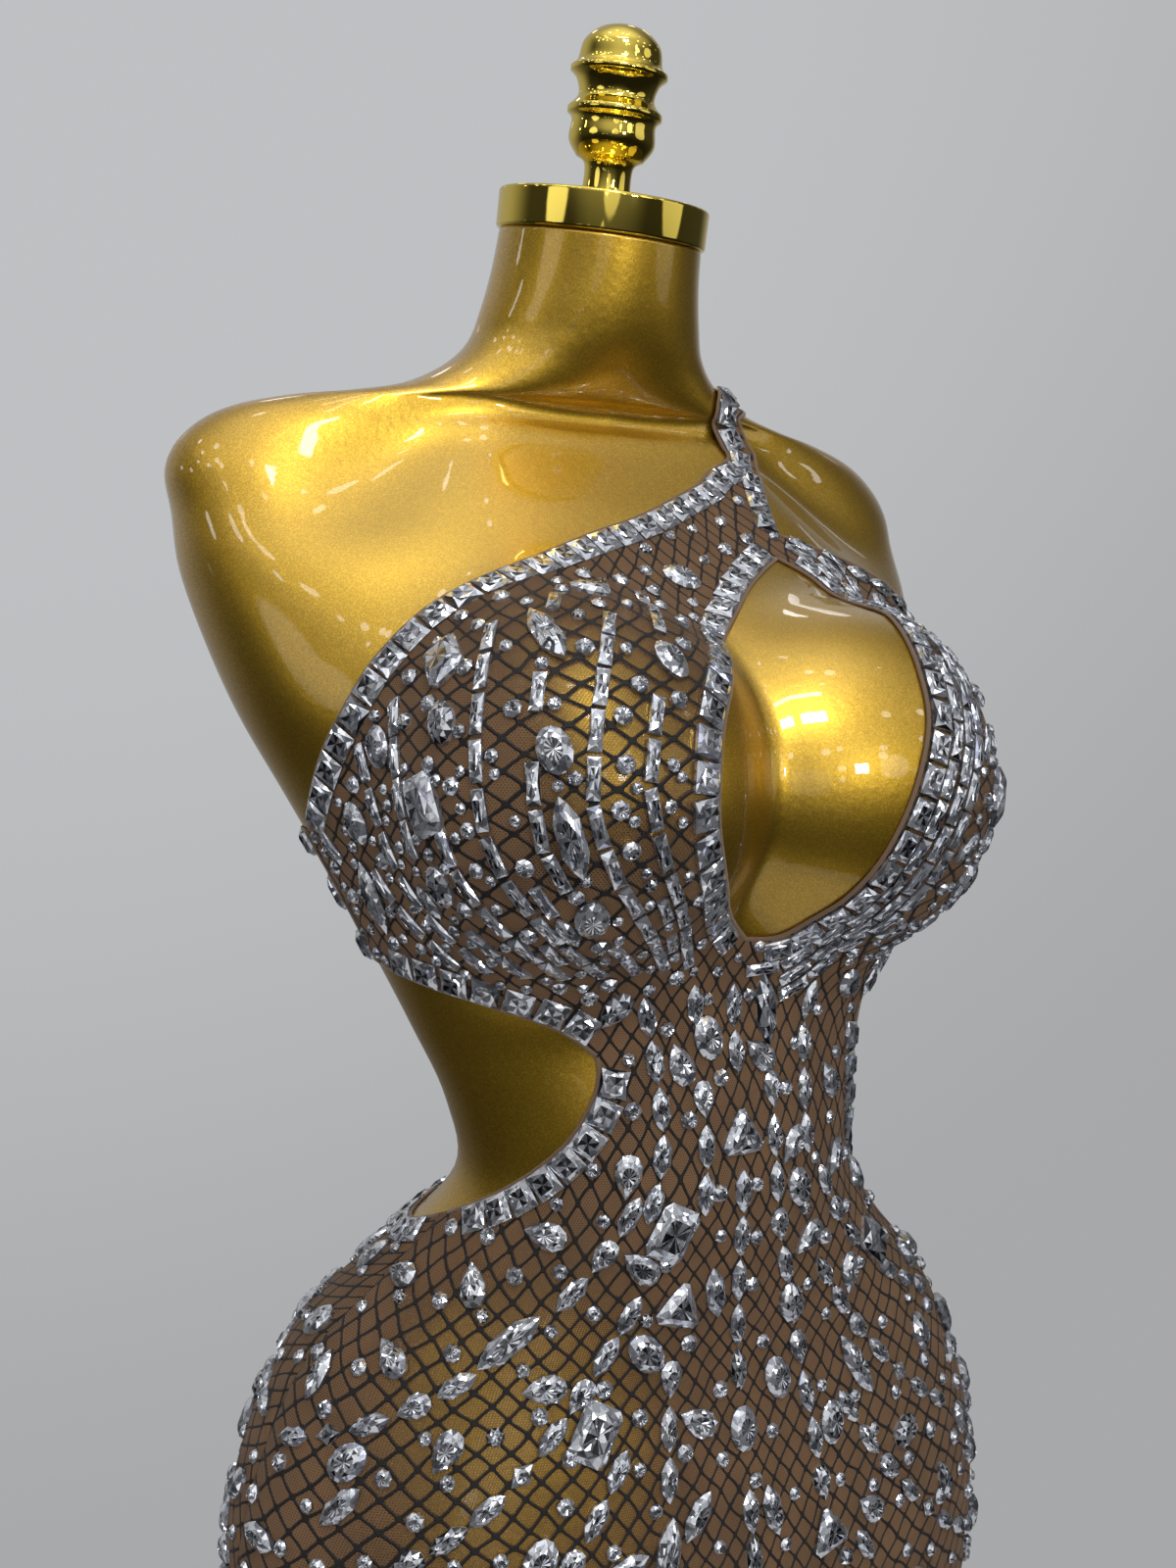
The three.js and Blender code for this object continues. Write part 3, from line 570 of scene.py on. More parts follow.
# ---- Finishes ----
@dataclass(frozen=True)
class Metal:
    """Polished or lacquered metal with smears and a fine ripple."""

    name: str
    colour: Colour
    shade: Colour
    roughness: float
    spread: float
    ripple_scale: float
    ripple: float
    coat: float = 0.0
    coat_roughness: float = 0.05
    flake: float = 0.0

    def make(self) -> bpy.types.Material:
        """The metal's material."""
        material, w, shader = new_material(self.name)
        place = w.node("ShaderNodeTexCoord").outputs["Object"]
        handling = w.effect("handling", Vector=place, Roughness=self.roughness, Spread=self.spread,
                            Ripple_Scale=self.ripple_scale)
        cloud = w.node("ShaderNodeTexNoise", {"Vector": place, "Scale": 4.0, "Detail": 3.0})
        colour = w.ramp(cloud.outputs[0], [(0.3, self.shade), (0.7, self.colour)])
        if self.flake:
            grain = w.node("ShaderNodeTexNoise", {"Vector": place, "Scale": 1400.0, "Detail": 1.0})
            spark = w.ramp(grain.outputs[0], [(0.42, (0.0, 0.0, 0.0)), (0.7, (1.0, 1.0, 1.0))])
            bright = tuple(min(c * (1 + self.flake), 1.0) for c in self.colour)
            colour = w.mix(spark, colour, bright)
        w.fill(shader, {"Base Color": colour, "Metallic": 1.0, "Roughness": handling["Roughness"],
                        "Normal": w.bump(handling["Ripple"], self.ripple, 0.0004),
                        "Coat Weight": self.coat, "Coat Roughness": self.coat_roughness})
        return material


@dataclass(frozen=True)
class NetCloth:
    """Fine brown knitted mesh under a black diamond net. The form shows through the knit."""

    name: str = "net_over_mesh"
    knit: Colour = (0.27, 0.146, 0.064)
    # The darker knit colour: a random mottle with the knit colour, and painted shade in the holes between the
    # loops.
    knit_mottle_and_hole_shade: Colour = (0.105, 0.055, 0.024)
    cord: Colour = (0.007, 0.0045, 0.0035)
    # The cover falls in the thinned patches, partly for stretch and partly as a painted highlight of the lit
    # gold beneath.
    cover: float = 0.68
    cover_stretched_and_lit: float = 0.14
    net_relief: float = 0.5
    knit_relief: float = 0.12

    def make(self) -> bpy.types.Material:
        """The cloth's material."""
        material, w, shader = new_material(self.name)
        weave = w.attribute("weave", "Vector")
        knit = w.effect("knit", Vector=weave)
        net = w.effect("net", Vector=w.attribute("net", "Vector"))
        cloud = w.node("ShaderNodeTexNoise", {"Vector": weave, "Scale": 0.03, "Detail": 3.0})
        ground = w.mix(cloud.outputs[0], self.knit_mottle_and_hole_shade, self.knit)
        # Painted shade: the holes between the loops are darkened.
        ground = w.mix(w.math("MULTIPLY", knit["Hole"], 0.8), ground, self.knit_mottle_and_hole_shade)
        colour = w.mix(net["Cord"], ground, self.cord)
        # Thinner in the patches kept for stretch and for the painted highlight of the gold.
        cover = w.map_range(w.attribute("stretch_and_highlight"), 0.0, 1.0, self.cover, self.cover_stretched_and_lit)
        holes = w.math("MULTIPLY", w.math("SUBTRACT", knit["Hole"], 0.4), -0.45)
        alpha = w.math("MAXIMUM", w.math("ADD", cover, holes), net["Cord"])
        height = w.math("ADD", w.math("MULTIPLY", net["Height"], self.net_relief),
                        w.math("MULTIPLY", knit["Height"], self.knit_relief))
        w.fill(shader, {"Base Color": colour, "Roughness": 0.72, "Alpha": alpha,
                        "Normal": w.bump(height, 0.9, 0.001), "Sheen Weight": 0.04, "Sheen Roughness": 0.4})
        return material


@dataclass(frozen=True)
class KnitBinding:
    """Folded brown knit, as on the narrow edges."""

    name: str = "edge_binding"
    colour: Colour = (0.17, 0.1, 0.052)
    # Painted shade for the holes between the loops.
    shade: Colour = (0.09, 0.05, 0.026)

    def make(self) -> bpy.types.Material:
        """The binding's material."""
        material, w, shader = new_material(self.name)
        knit = w.effect("knit", Vector=w.attribute("weave", "Vector"), Pitch=0.9)
        # Painted shade: the holes between the loops take the darker colour.
        w.fill(shader, {"Base Color": w.mix(knit["Hole"], self.colour, self.shade), "Roughness": 0.7,
                        "Normal": w.bump(knit["Height"], 0.6, 0.0003), "Sheen Weight": 0.3})
        return material


@dataclass(frozen=True)
class CutGlass:
    """Silver-backed cut glass. Each facet throws back its own share of the light as painted reflection:
    facets are painted dark, grey, bright and bluish, and a cell pattern paints the inner facets seen through
    the top.
    """

    name: str = "cut_glass"
    # Painted reflections: the facet colours stand for what each facet reflects, dark, grey, bright and
    # bluish.
    dark: Colour = (0.045, 0.046, 0.056)
    grey: Colour = (0.36, 0.375, 0.42)
    bright: Colour = (0.86, 0.89, 0.95)
    cool: Colour = (0.6, 0.64, 0.86)
    tilt: float = 0.26

    def make(self) -> bpy.types.Material:
        """The stones' material."""
        material, w, shader = new_material(self.name)
        # Each stone's lot shifts which of its facets get which painted reflection.
        own = w.math("FRACT", w.math("MULTIPLY_ADD", w.attribute("lot"), 0.3, w.attribute("facet")))
        facet_painted_reflection = w.ramp(own, [(0.0, self.dark), (0.2, self.dark), (0.36, self.grey), (0.6, self.bright),
                            (0.93, self.bright), (1.0, self.cool)])
        place = w.node("ShaderNodeTexCoord").outputs["Object"]
        # Painted refraction: small cells, multiplied into the colour, paint light and dark inner facets seen
        # through the top; the same cells also lean the normal.
        inner = w.node("ShaderNodeTexVoronoi", {"Vector": place, "Scale": 360.0}, feature="F1")
        shade = w.ramp(w.node("ShaderNodeSeparateColor", {0: inner.outputs["Color"]}).outputs[0],
                       [(0.12, (0.09, 0.09, 0.11)), (0.34, (0.62, 0.63, 0.67)), (0.56, (1.0, 1.0, 1.0))])
        mixed = w.node("ShaderNodeMix", data_type="RGBA", blend_type="MULTIPLY")
        w.fill(mixed, {0: 0.72, 6: facet_painted_reflection, 7: shade})
        off = w.vector("SUBTRACT", inner.outputs["Color"], (0.5, 0.5, 0.5))
        lean = w.vector("SCALE", off, Scale=self.tilt)
        flat = w.node("ShaderNodeNewGeometry").outputs["Normal"]
        normal = w.vector("NORMALIZE", w.vector("ADD", flat, lean))
        w.fill(shader, {"Base Color": mixed.outputs[2], "Metallic": 0.82, "Roughness": 0.07, "Normal": normal,
                        "Coat Weight": 1.0, "Coat Roughness": 0.02})
        return material


@dataclass(frozen=True)
class FloorPaint:
    """Pale matt floor paint with a faint mottle."""

    name: str = "floor"
    light: Colour = (0.62, 0.62, 0.63)
    dark: Colour = (0.55, 0.55, 0.56)

    def make(self) -> bpy.types.Material:
        """The floor's material."""
        material, w, shader = new_material(self.name)
        place = w.node("ShaderNodeTexCoord").outputs["Object"]
        cloud = w.node("ShaderNodeTexNoise", {"Vector": place, "Scale": 3.0, "Detail": 4.0})
        w.fill(shader, {"Base Color": w.mix(cloud.outputs[0], self.dark, self.light), "Roughness": 0.6})
        return material


# ---- Meshes ----
def new_piece(name: str, points: np.ndarray, faces: list, material: bpy.types.Material,
              smooth_faces: bool = True) -> bpy.types.Object:
    """A piece from points in millimetres.

    Args:
        name: The piece's name.
        points: The points, one row each.
        faces: Each face's corners.
        material: Its finish.
        smooth_faces: Whether the faces are shaded smooth.

    Returns:
        The object, at the origin.
    """
    mesh = bpy.data.meshes.new(name)
    mesh.from_pydata((np.asarray(points, float) * MM).tolist(), [], faces)
    mesh.polygons.foreach_set("use_smooth", [smooth_faces] * len(mesh.polygons))
    mesh.materials.append(material)
    mesh.update()
    piece = bpy.data.objects.new(name, mesh)
    bpy.context.scene.collection.objects.link(piece)
    return piece


def store(piece: bpy.types.Object, name: str, kind: str, values: np.ndarray) -> None:
    """Keeps a value on each point of a piece.

    Args:
        piece: The piece.
        name: The attribute's name.
        kind: FLOAT or FLOAT_VECTOR.
        values: One value, or one row of three, for each point.
    """
    attribute = piece.data.attributes.new(name, kind, "POINT")
    key = "vector" if kind == "FLOAT_VECTOR" else "value"
    attribute.data.foreach_set(key, np.asarray(values, np.float32).ravel())


def finished(piece: bpy.types.Object, *nodes: str) -> bpy.types.Object:
    """A piece that rides on the object's one body, and stands for CAD nodes where any are named."""
    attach(piece, "root")
    if nodes:
        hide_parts(*nodes)
    LOG.info("%s: %d faces", piece.name, len(piece.data.polygons))
    return piece


def turned_faces(rings: int, sides: int) -> list[tuple[int, ...]]:
    """The faces of rings of points with a fan at each end.

    Args:
        rings: How many rings there are, foot to top.
        sides: How many points each has. The middles of the foot and the top come after them all.

    Returns:
        Each face's corners.
    """
    faces, last = [], (rings - 1) * sides
    foot = rings * sides
    for j in range(sides):
        k = (j + 1) % sides
        for i in range(rings - 1):
            faces.append((i * sides + j, i * sides + k, (i + 1) * sides + k, (i + 1) * sides + j))
        faces.append((foot, k, j))
        faces.append((foot + 1, last + j, last + k))
    return faces


def lathe(profile: Line, sides: int) -> tuple[np.ndarray, list]:
    """A turned shape round the z axis.

    Args:
        profile: Radius and height, foot to top.
        sides: How many sides it has.

    Returns:
        Its points and faces.
    """
    turn = np.arange(sides) / sides * 2 * math.pi
    rings = [np.stack([r * np.cos(turn), r * np.sin(turn), np.full(sides, z)], -1) for r, z in profile]
    points = np.concatenate([*rings, [[0, 0, profile[0][1]], [0, 0, profile[-1][1]]]])
    return points, turned_faces(len(profile), sides)


def rounded(profile: Line, radius: float, steps: int = 4) -> Line:
    """A profile whose inner corners are rounded.

    Args:
        profile: Radius and height, foot to top.
        radius: How far each rounding reaches along its sides.
        steps: How many points each rounding has.

    Returns:
        The rounded profile.
    """
    made = [profile[0]]
    for a, b, c in zip(profile, profile[1:], profile[2:]):
        a, b, c = (np.array(p, float) for p in (a, b, c))
        p = b + (a - b) * min(0.45, radius / max(np.linalg.norm(a - b), 1e-6))
        q = b + (c - b) * min(0.45, radius / max(np.linalg.norm(c - b), 1e-6))
        for t in np.linspace(0, 1, steps):
            made.append(tuple((1 - t) ** 2 * p + 2 * t * (1 - t) * b + t * t * q))
    return [*made, profile[-1]]


# ---- Sub-assemblies ----
@dataclass
class Stand:
    """The round steel base and its pole."""

    base_radius: float = 200.0
    base_thick: float = 14.0
    pole_radius: float = 16.0
    flange_radius: float = 42.0
    flange_thick: float = 4.0
    seat_gap: float = 0.3

    def build(self, steel: bpy.types.Material) -> None:
        """Makes the base and the pole."""
        r, t = self.base_radius, self.base_thick
        base = [(r - 2, 0), (r, 2), (r, t - 2), (r - 2, t)]
        finished(new_piece("base_plate", *lathe(rounded(base, 1.5), 128), steel), "stand_base")
        seat, foot = t + self.seat_gap, WAIST + SECTIONS[0].up - self.seat_gap
        f, d = self.flange_radius, self.flange_thick
        pole = [(f, seat), (f, seat + d), (self.pole_radius, seat + 2 * d), (self.pole_radius, foot - 2 * d),
                (f, foot - d), (f, foot)]
        finished(new_piece("pole", *lathe(rounded(pole, 1.4), 72), steel), "stand_pole")


@dataclass
class DisplayForm:
    """The limbless gold form."""

    shape: FormShape
    columns: int = 176
    steps: int = 6
    hollows: tuple = ((65, 320, 9.5, 36, 9.5), (18, 352, 44, 5, 3.0))

    def depth(self, around: np.ndarray, up: np.ndarray) -> np.ndarray:
        """How deep the shallow hollows by the collar bones and the shoulders are at each point."""
        turned = np.abs((around + 180) % 360 - 180)
        return sum(deep * np.exp(-(((turned - at) / wide) ** 2 + ((up - high) / tall) ** 2))
                   for at, high, wide, tall, deep in self.hollows)

    def build(self, paint: bpy.types.Material) -> bpy.types.Object:
        """Makes the form's smooth body.

        Args:
            paint: Its finish.

        Returns:
            The body.
        """
        last = len(SECTIONS) - 1
        places = np.linspace(0, last, last * self.steps + 1)
        around = np.arange(self.columns) * 360 / self.columns
        turn, place = np.tile(around, len(places)), np.repeat(places, self.columns)
        grid = self.shape.points(turn, place)
        grid -= self.shape.slopes(turn, place)[2] * self.depth(turn, self.shape.section(place)[:, 0])[:, None]
        n = self.columns
        points = np.concatenate([grid, [grid[:n].mean(0)], [grid[-n:].mean(0)]])
        piece = new_piece("form_shell", points, turned_faces(len(places), n), paint)
        for polygon in piece.data.polygons:
            polygon.use_smooth = len(polygon.vertices) > 3
        return finished(piece, "form_body")


@dataclass
class NeckFurniture:
    """The polished cap on the neck and its turned finial."""

    cap: tuple = ((51, 0), (51.8, 0.8), (51.8, 17.2), (51, 18))
    ridges: frozenset = frozenset((3, 6, 7, 10, 11))
    finial: tuple = ((14, 0), (12, 3.5), (12, 15.5), (16.5, 19), (21, 26), (20.5, 35), (23, 38), (23, 40.5),
                     (18.5, 46), (20, 53), (23.5, 56.5), (23.5, 58.5), (20.5, 61.5), (18.5, 70), (12, 76),
                     (5, 78.4))
    seat_gap: float = 0.3

    def on_axis(self, points: np.ndarray, rise: float) -> np.ndarray:
        """Points turned onto the neck's leaning axis.

        Args:
            points: Points round the z axis.
            rise: How far up the axis they start.

        Returns:
            The placed points.
        """
        neck = SECTIONS[-1]
        lean = math.radians(neck.lean)
        y = points[:, 1] * math.cos(lean) - (points[:, 2] + rise) * math.sin(lean)
        z = points[:, 1] * math.sin(lean) + (points[:, 2] + rise) * math.cos(lean)
        return np.stack([points[:, 0], y + neck.centre, z + WAIST + neck.up], -1)

    def build(self, metal: bpy.types.Material) -> None:
        """Makes the cap and the finial."""
        points, faces = lathe(rounded(list(self.cap), 0.8, 5), 120)
        finished(new_piece("cap", self.on_axis(points, self.seat_gap), faces, metal), "neck_cap")
        top = self.cap[-1][1] + 2 * self.seat_gap
        points, faces = lathe(self.turned_profile(), 72)
        finished(new_piece("turned_finial", self.on_axis(points, top), faces, metal), "finial")

    def turned_profile(self) -> Line:
        """The finial's profile: smooth swells, with a sharp ridge at each of its two collars."""
        made, run = [], [self.finial[0]]
        for k, swell in enumerate(self.finial[1:], 1):
            run.append(swell)
            if k in self.ridges or k == len(self.finial) - 1:
                made.extend(smooth(np.array(run, float), 5)[:-1] if len(run) > 2 else [run[0]])
                run = [swell]
        made.append(self.finial[-1])
        return [(float(r), float(z)) for r, z in made]


class Edges:
    """The dress's edge lines, as flat lines on the form."""

    def __init__(self, shape: FormShape) -> None:
        """Works out each line from its table."""
        self.shape = shape
        strap = smooth(np.array([(a, p * ROW) for a, p in STRAP_LINE]), 10)
        self.strap_inner = shape.beside(strap, STRAP_WIDTH / 2)
        self.strap_outer = shape.beside(strap, -STRAP_WIDTH / 2)
        neck = shape.flat(NECKLINE)
        self.neckline = smooth(np.concatenate([neck, self.over_shoulder(self.strap_inner)]), 7)
        start = shape.flat(rows((41.5, 297)))
        self.strap_edge = smooth(np.concatenate([start, self.over_shoulder(self.strap_outer)]), 7)
        self.left = smooth(shape.flat(LEFT_EDGE))
        self.key_left = smooth(shape.flat(KEYHOLE_LEFT))
        self.key_right = smooth(shape.flat(KEYHOLE_RIGHT))
        self.cut_top = smooth(shape.flat(LEFT_CUT_TOP))
        self.cut_low = smooth(shape.flat(LEFT_CUT_LOW))
        self.right_cut_top = mirrored(smooth(shape.flat(CUT_TOP)))
        self.right_cut_low = mirrored(smooth(shape.flat(CUT_LOW)))
        half = smooth(shape.flat(SKIRT_BACK_TOP))
        self.back_side = half[0, 1]
        self.back_top = np.concatenate([half[1:], (half[1:] * [-1, 1] + [360, 0])[-2::-1]])

    @staticmethod
    def over_shoulder(line: np.ndarray) -> np.ndarray:
        """The points of a strap's edge that the front's edge runs through."""
        kept = [p for k, p in enumerate(line) if k >= 12 and k % 6 == 0 and p[0] < SIDE_SEAM + 12]
        return np.array(kept)

    def up(self, around: float, up: float) -> np.ndarray:
        """The flat point at an angle and a height above the waist."""
        return np.array([around, self.shape.place_of(up) * ROW])

    def front(self) -> list[np.ndarray]:
        """The front's outline and its keyhole."""
        seam = SIDE_SEAM - SEAM_HALF
        neck = self.neckline[self.neckline[:, 0] < SIDE_SEAM]
        edge = self.strap_edge[self.strap_edge[:, 0] < SIDE_SEAM]
        left = self.left[self.left[:, 0] < seam]
        hem = self.up(0, HEM_UP)[1]
        outline = [
            [[-seam, hem], [seam, hem], [seam, self.cut_low[-1, 1]]], self.cut_low[-2::-1],
            self.cut_top[-2:0:-1], [[seam, self.cut_top[0, 1]], [seam, self.left[-1, 1]]], left[::-1],
            edge[1:],
            [[SIDE_SEAM, edge[-1, 1]], [SIDE_SEAM, neck[-1, 1]]], neck[:0:-1],
            [[-seam, self.neckline[0, 1]], [-seam, self.right_cut_top[0, 1]]], self.right_cut_top[1:],
            self.right_cut_low[1:-1], [[-seam, self.right_cut_low[-1, 1]]],
        ]
        keyhole = np.concatenate([self.key_left, self.key_right[1:-1]])
        return [np.concatenate([np.asarray(part, float) for part in outline]), keyhole]

    def skirt(self) -> list[np.ndarray]:
        """The back skirt's outline."""
        seam = SIDE_SEAM + SEAM_HALF
        low, high = self.up(0, HEM_UP)[1], self.back_side
        sides = [[[seam, low], [seam, high]], self.back_top, [[360 - seam, high], [360 - seam, low]]]
        return [np.concatenate(sides)[::-1]]

    def band(self) -> list[np.ndarray]:
        """The back band's outline."""
        seam = SIDE_SEAM + SEAM_HALF
        low, high = (self.shape.place_of(up) * ROW for up in (BAND_LOW, BAND_HIGH))
        return [np.array([[seam, low], [360 - seam, low], [360 - seam, high], [seam, high]])]

    def bindings(self) -> dict[str, list[np.ndarray]]:
        """Each panel's bound edges, with the cloth on the line's left as it runs."""
        seam = SIDE_SEAM + SEAM_HALF
        end = SIDE_SEAM - BINDING_END
        hem = self.up(0, HEM_UP)[1]

        def level(start: float, end: float, height: float) -> np.ndarray:
            """A level flat line of even steps."""
            steps = int(abs(end - start) / 2)
            return np.stack([np.linspace(start, end, steps), np.full(steps, height)], -1)

        low, high = self.band()[0][0, 1], self.band()[0][2, 1]
        neck, edge, left, cut_top, cut_low, right_top, right_low = (
            line[np.abs(line[:, 0]) < end] for line in (
                self.neckline, self.strap_edge, self.left, self.cut_top, self.cut_low, self.right_cut_top,
                self.right_cut_low))
        keyhole = np.concatenate([self.key_left, self.key_right[1:]])
        top = self.back_top[np.abs(self.back_top[:, 0] - 180) < 180 - seam - 0.2]
        inner, outer = (line[(line[:, 0] > SIDE_SEAM + BINDING_END) & (line[:, 1] > high + 3)]
                        for line in (self.strap_inner, self.strap_outer))
        return {
            "front": [neck[::-1], edge, left[::-1], keyhole[::-1], cut_top[::-1], cut_low[::-1], right_top,
                      right_low, level(-end, end, hem)],
            "back": [top[::-1], level(seam, 360 - seam, hem)],
            "band": [level(seam, 360 - seam, low), level(360 - seam, seam, high)],
            "strap": [inner[::-1], outer],
        }

    def strap(self) -> list[np.ndarray]:
        """The back strap's outline, from the shoulder seam down to the band."""
        start, end = SIDE_SEAM + 0.12, self.band()[0][2, 1] + 0.14

        def cut(line: np.ndarray) -> np.ndarray:
            """The line between the seam and the band, its ends on them."""
            fine = smooth(line, 6)
            kept = fine[(fine[:, 0] > start) & (fine[:, 1] > end)]
            head = np.array([[start, np.interp(start, fine[:, 0], fine[:, 1])]])
            tail = np.array([[np.interp(-end, -fine[:, 1], fine[:, 0]), end]])
            return np.concatenate([head, kept, tail])

        return [np.concatenate([cut(self.strap_inner), cut(self.strap_outer)[::-1]])]


class StretchAndHighlight(NamedTuple):
    """A patch where the cloth is thinned so the gold shows: partly for its stretch over a swell and partly as
    a painted highlight where the gold is lit. Its middle and its reach, across and up.
    """

    across: float
    wide: float
    up: float
    tall: float

    def at(self, across: np.ndarray, up: np.ndarray) -> np.ndarray:
        """How far the cloth is thinned at each point, from 0 to 1, for stretch and painted highlight."""
        return np.exp(-(((across - self.across) / self.wide) ** 4 + ((up - self.up) / self.tall) ** 4))


# Both patches stand partly for stretch and partly for a painted highlight; the belly patch is on the right
# side only, where the gold under the cloth is lit.
BUST_STRETCH_AND_HIGHLIGHT = StretchAndHighlight(70, 46, 200, 58)
BELLY_STRETCH_AND_HIGHLIGHT = StretchAndHighlight(-92, 64, -104, 80)


@dataclass
class Panel:
    """A panel of cloth: a thin shell cut to flat loops and wrapped round the form."""

    shape: FormShape
    name: str
    loops: list[np.ndarray]
    node: str
    grid: float = 5.5
    net_wide: float = 11.8
    net_tall: float = 14.2
    net_girth: float = 760.0
    area: float = 0.0

    def flat_points(self) -> tuple[np.ndarray, list]:
        """The panel's flat points and triangles."""
        boundary, edges = [], []
        for loop in self.loops:
            fine = []
            for a, b in zip(loop, np.roll(loop, -1, 0)):
                length = np.linalg.norm((b - a) * FLAT_MM)
                steps = max(int(math.ceil(length / self.grid)), 1)
                fine.extend(a + (b - a) * k / steps for k in range(steps))
            first = len(boundary)
            boundary.extend(fine)
            edges.extend((first + k, first + (k + 1) % len(fine)) for k in range(len(fine)))
        boundary = np.array(boundary)
        low, high = boundary.min(0), boundary.max(0)
        inner = []
        wide = self.grid / 2.6
        row_share = 0.87
        for k, y in enumerate(np.arange(low[1] + 1, high[1], self.grid / FLAT_MM[1] * row_share)):
            x = np.arange(low[0] + wide * (0.5 if k % 2 else 1.0), high[0], wide)
            inner.append(np.stack([x, np.full(len(x), y)], -1))
        inner = np.concatenate(inner)
        inner = inner[inside(inner, self.loops)]
        far = np.ones(len(inner), bool)
        lot = 2000
        for k in range(0, len(inner), lot):
            gap = (inner[k:k + lot, None] - boundary[None]) * FLAT_MM
            far[k:k + lot] = np.sqrt((gap**2).sum(-1)).min(1) > self.grid * 0.45
        points = np.concatenate([boundary, inner[far]])
        scaled = [Vector((x * FLAT_MM[0], y * FLAT_MM[1])) for x, y in points]
        made = delaunay_2d_cdt(scaled, edges, [], 0, 1e-5)
        flat = np.array([(v[0] / FLAT_MM[0], v[1] / FLAT_MM[1]) for v in made[0]])
        middles = np.array([flat[list(face)].mean(0) for face in made[2]])
        kept = inside(middles, self.loops)
        return flat, [tuple(face) for face, keep in zip(made[2], kept) if keep]

    def lengths(self) -> tuple[np.ndarray, np.ndarray, np.ndarray]:
        """Places up the form, with the girth and the length up the cloth at each."""
        levels, turns = 121, 73
        places = np.linspace(0, len(SECTIONS) - 1, levels)
        around = np.tile(np.linspace(0, 360, turns), levels)
        rings = self.shape.points(around, np.repeat(places, turns)).reshape(levels, turns, 3)
        girth = np.linalg.norm(np.diff(rings, axis=1), axis=2).sum(1)
        rise = np.linalg.norm(np.diff(rings[:, ::9], axis=0), axis=2).mean(1)
        return places, girth, np.concatenate([[0], np.cumsum(rise)])

    def build(self, cloth: bpy.types.Material) -> bpy.types.Object:
        """Makes the panel's shell, with the places of its knit and its net.

        Args:
            cloth: Its finish.

        Returns:
            The panel.
        """
        flat, triangles = self.flat_points()
        inner, outer = (self.shape.over(flat, out) for out in (CLOTH_GAP, CLOTH_GAP + CLOTH))
        n = len(flat)
        faces = [(a, c, b) for a, b, c in triangles] + [(a + n, b + n, c + n) for a, b, c in triangles]
        sides = {(a, b) for face in triangles for a, b in zip(face, face[1:] + face[:1])}
        faces += [(a, b, b + n, a + n) for a, b in sides if (b, a) not in sides]
        points = np.concatenate([inner, outer])
        piece = new_piece(self.name, points, faces, cloth)
        place = flat[:, 1] / ROW
        places, girth, length = self.lengths()
        wide = self.net_wide * (girth / self.net_girth) ** 0.6
        tall = self.net_tall * (self.net_girth / girth) ** 0.5
        rows = np.concatenate([[0], np.cumsum(np.diff(length) / ((tall[1:] + tall[:-1]) / 2))])
        g = np.interp(place, places, girth)
        u = flat[:, 0] / 360 * g
        zero = np.zeros(n)
        weave = np.stack([u, np.interp(place, places, length), zero], -1)
        net = np.stack([u / np.interp(place, places, wide), np.interp(place, places, rows), zero], -1)
        # Where the cloth is thinned, for stretch and as a painted highlight of the lit gold beneath.
        centre = points[:n] - [0, 0, WAIST]
        over_bust = BUST_STRETCH_AND_HIGHLIGHT.at(np.abs(centre[:, 0]), centre[:, 2])
        over_belly = BELLY_STRETCH_AND_HIGHLIGHT.at(centre[:, 0], centre[:, 2])
        front = np.clip((-centre[:, 1] - 30) / 30, 0, 1)
        stretch_and_highlight = np.clip(over_bust + over_belly, 0, 1) * front
        store(piece, "weave", "FLOAT_VECTOR", np.tile(weave, (2, 1)))
        store(piece, "net", "FLOAT_VECTOR", np.tile(net, (2, 1)))
        store(piece, "stretch_and_highlight", "FLOAT", np.tile(stretch_and_highlight, 2))
        a, b, c = (outer[[face[k] for face in triangles]] for k in range(3))
        self.area = float(np.linalg.norm(np.cross(b - a, c - a), axis=1).sum() / 2) * MM * MM
        LOG.info("%s: %.4f square metres", self.name, self.area)
        return finished(piece, self.node)


@dataclass
class Binding:
    """The folded knit binding along a panel's edges: flat tubes that lie on the cloth."""

    shape: FormShape
    name: str
    lines: list[np.ndarray]
    half_wide: float = 1.1
    half_high: float = 0.7
    inset: float = 0.9
    sides: int = 10
    knit_round: float = 1.2

    def build(self, knit: bpy.types.Material) -> bpy.types.Object:
        """Makes all the panel's bindings as one piece.

        Args:
            knit: Its finish.

        Returns:
            The piece.
        """
        points, faces, weave = [], [], []
        turn = np.arange(self.sides) / self.sides * 2 * math.pi
        for line in self.lines:
            middle = self.shape.beside(line, self.inset)
            base = self.shape.over(middle, CLOTH_GAP + CLOTH / 2)
            out = self.shape.over(middle, CLOTH_GAP + CLOTH / 2 + 1) - base
            across = np.cross(out, unit(np.gradient(base, axis=0)))
            ring = (base[:, None] + across[:, None] * (np.cos(turn) * self.half_wide)[None, :, None]
                    + out[:, None] * (np.sin(turn) * self.half_high)[None, :, None])
            first, n, count = sum(len(part) for part in points), self.sides, len(middle)
            points.append(ring.reshape(-1, 3))
            length = np.repeat(lengths_along(base), n)
            weave.append(np.stack([length, np.tile(turn * self.knit_round, count), np.zeros(n * count)], -1))
            for i in range(count - 1):
                for j in range(n):
                    a, b = first + i * n + j, first + i * n + (j + 1) % n
                    faces.append((b, a, a + n, b + n))
            faces.append(tuple(range(first, first + n)))
            faces.append(tuple(first + (count - 1) * n + j for j in range(n - 1, -1, -1)))
        piece = new_piece(self.name, np.concatenate(points), faces, knit)
        store(piece, "weave", "FLOAT_VECTOR", np.concatenate(weave))
        return finished(piece)


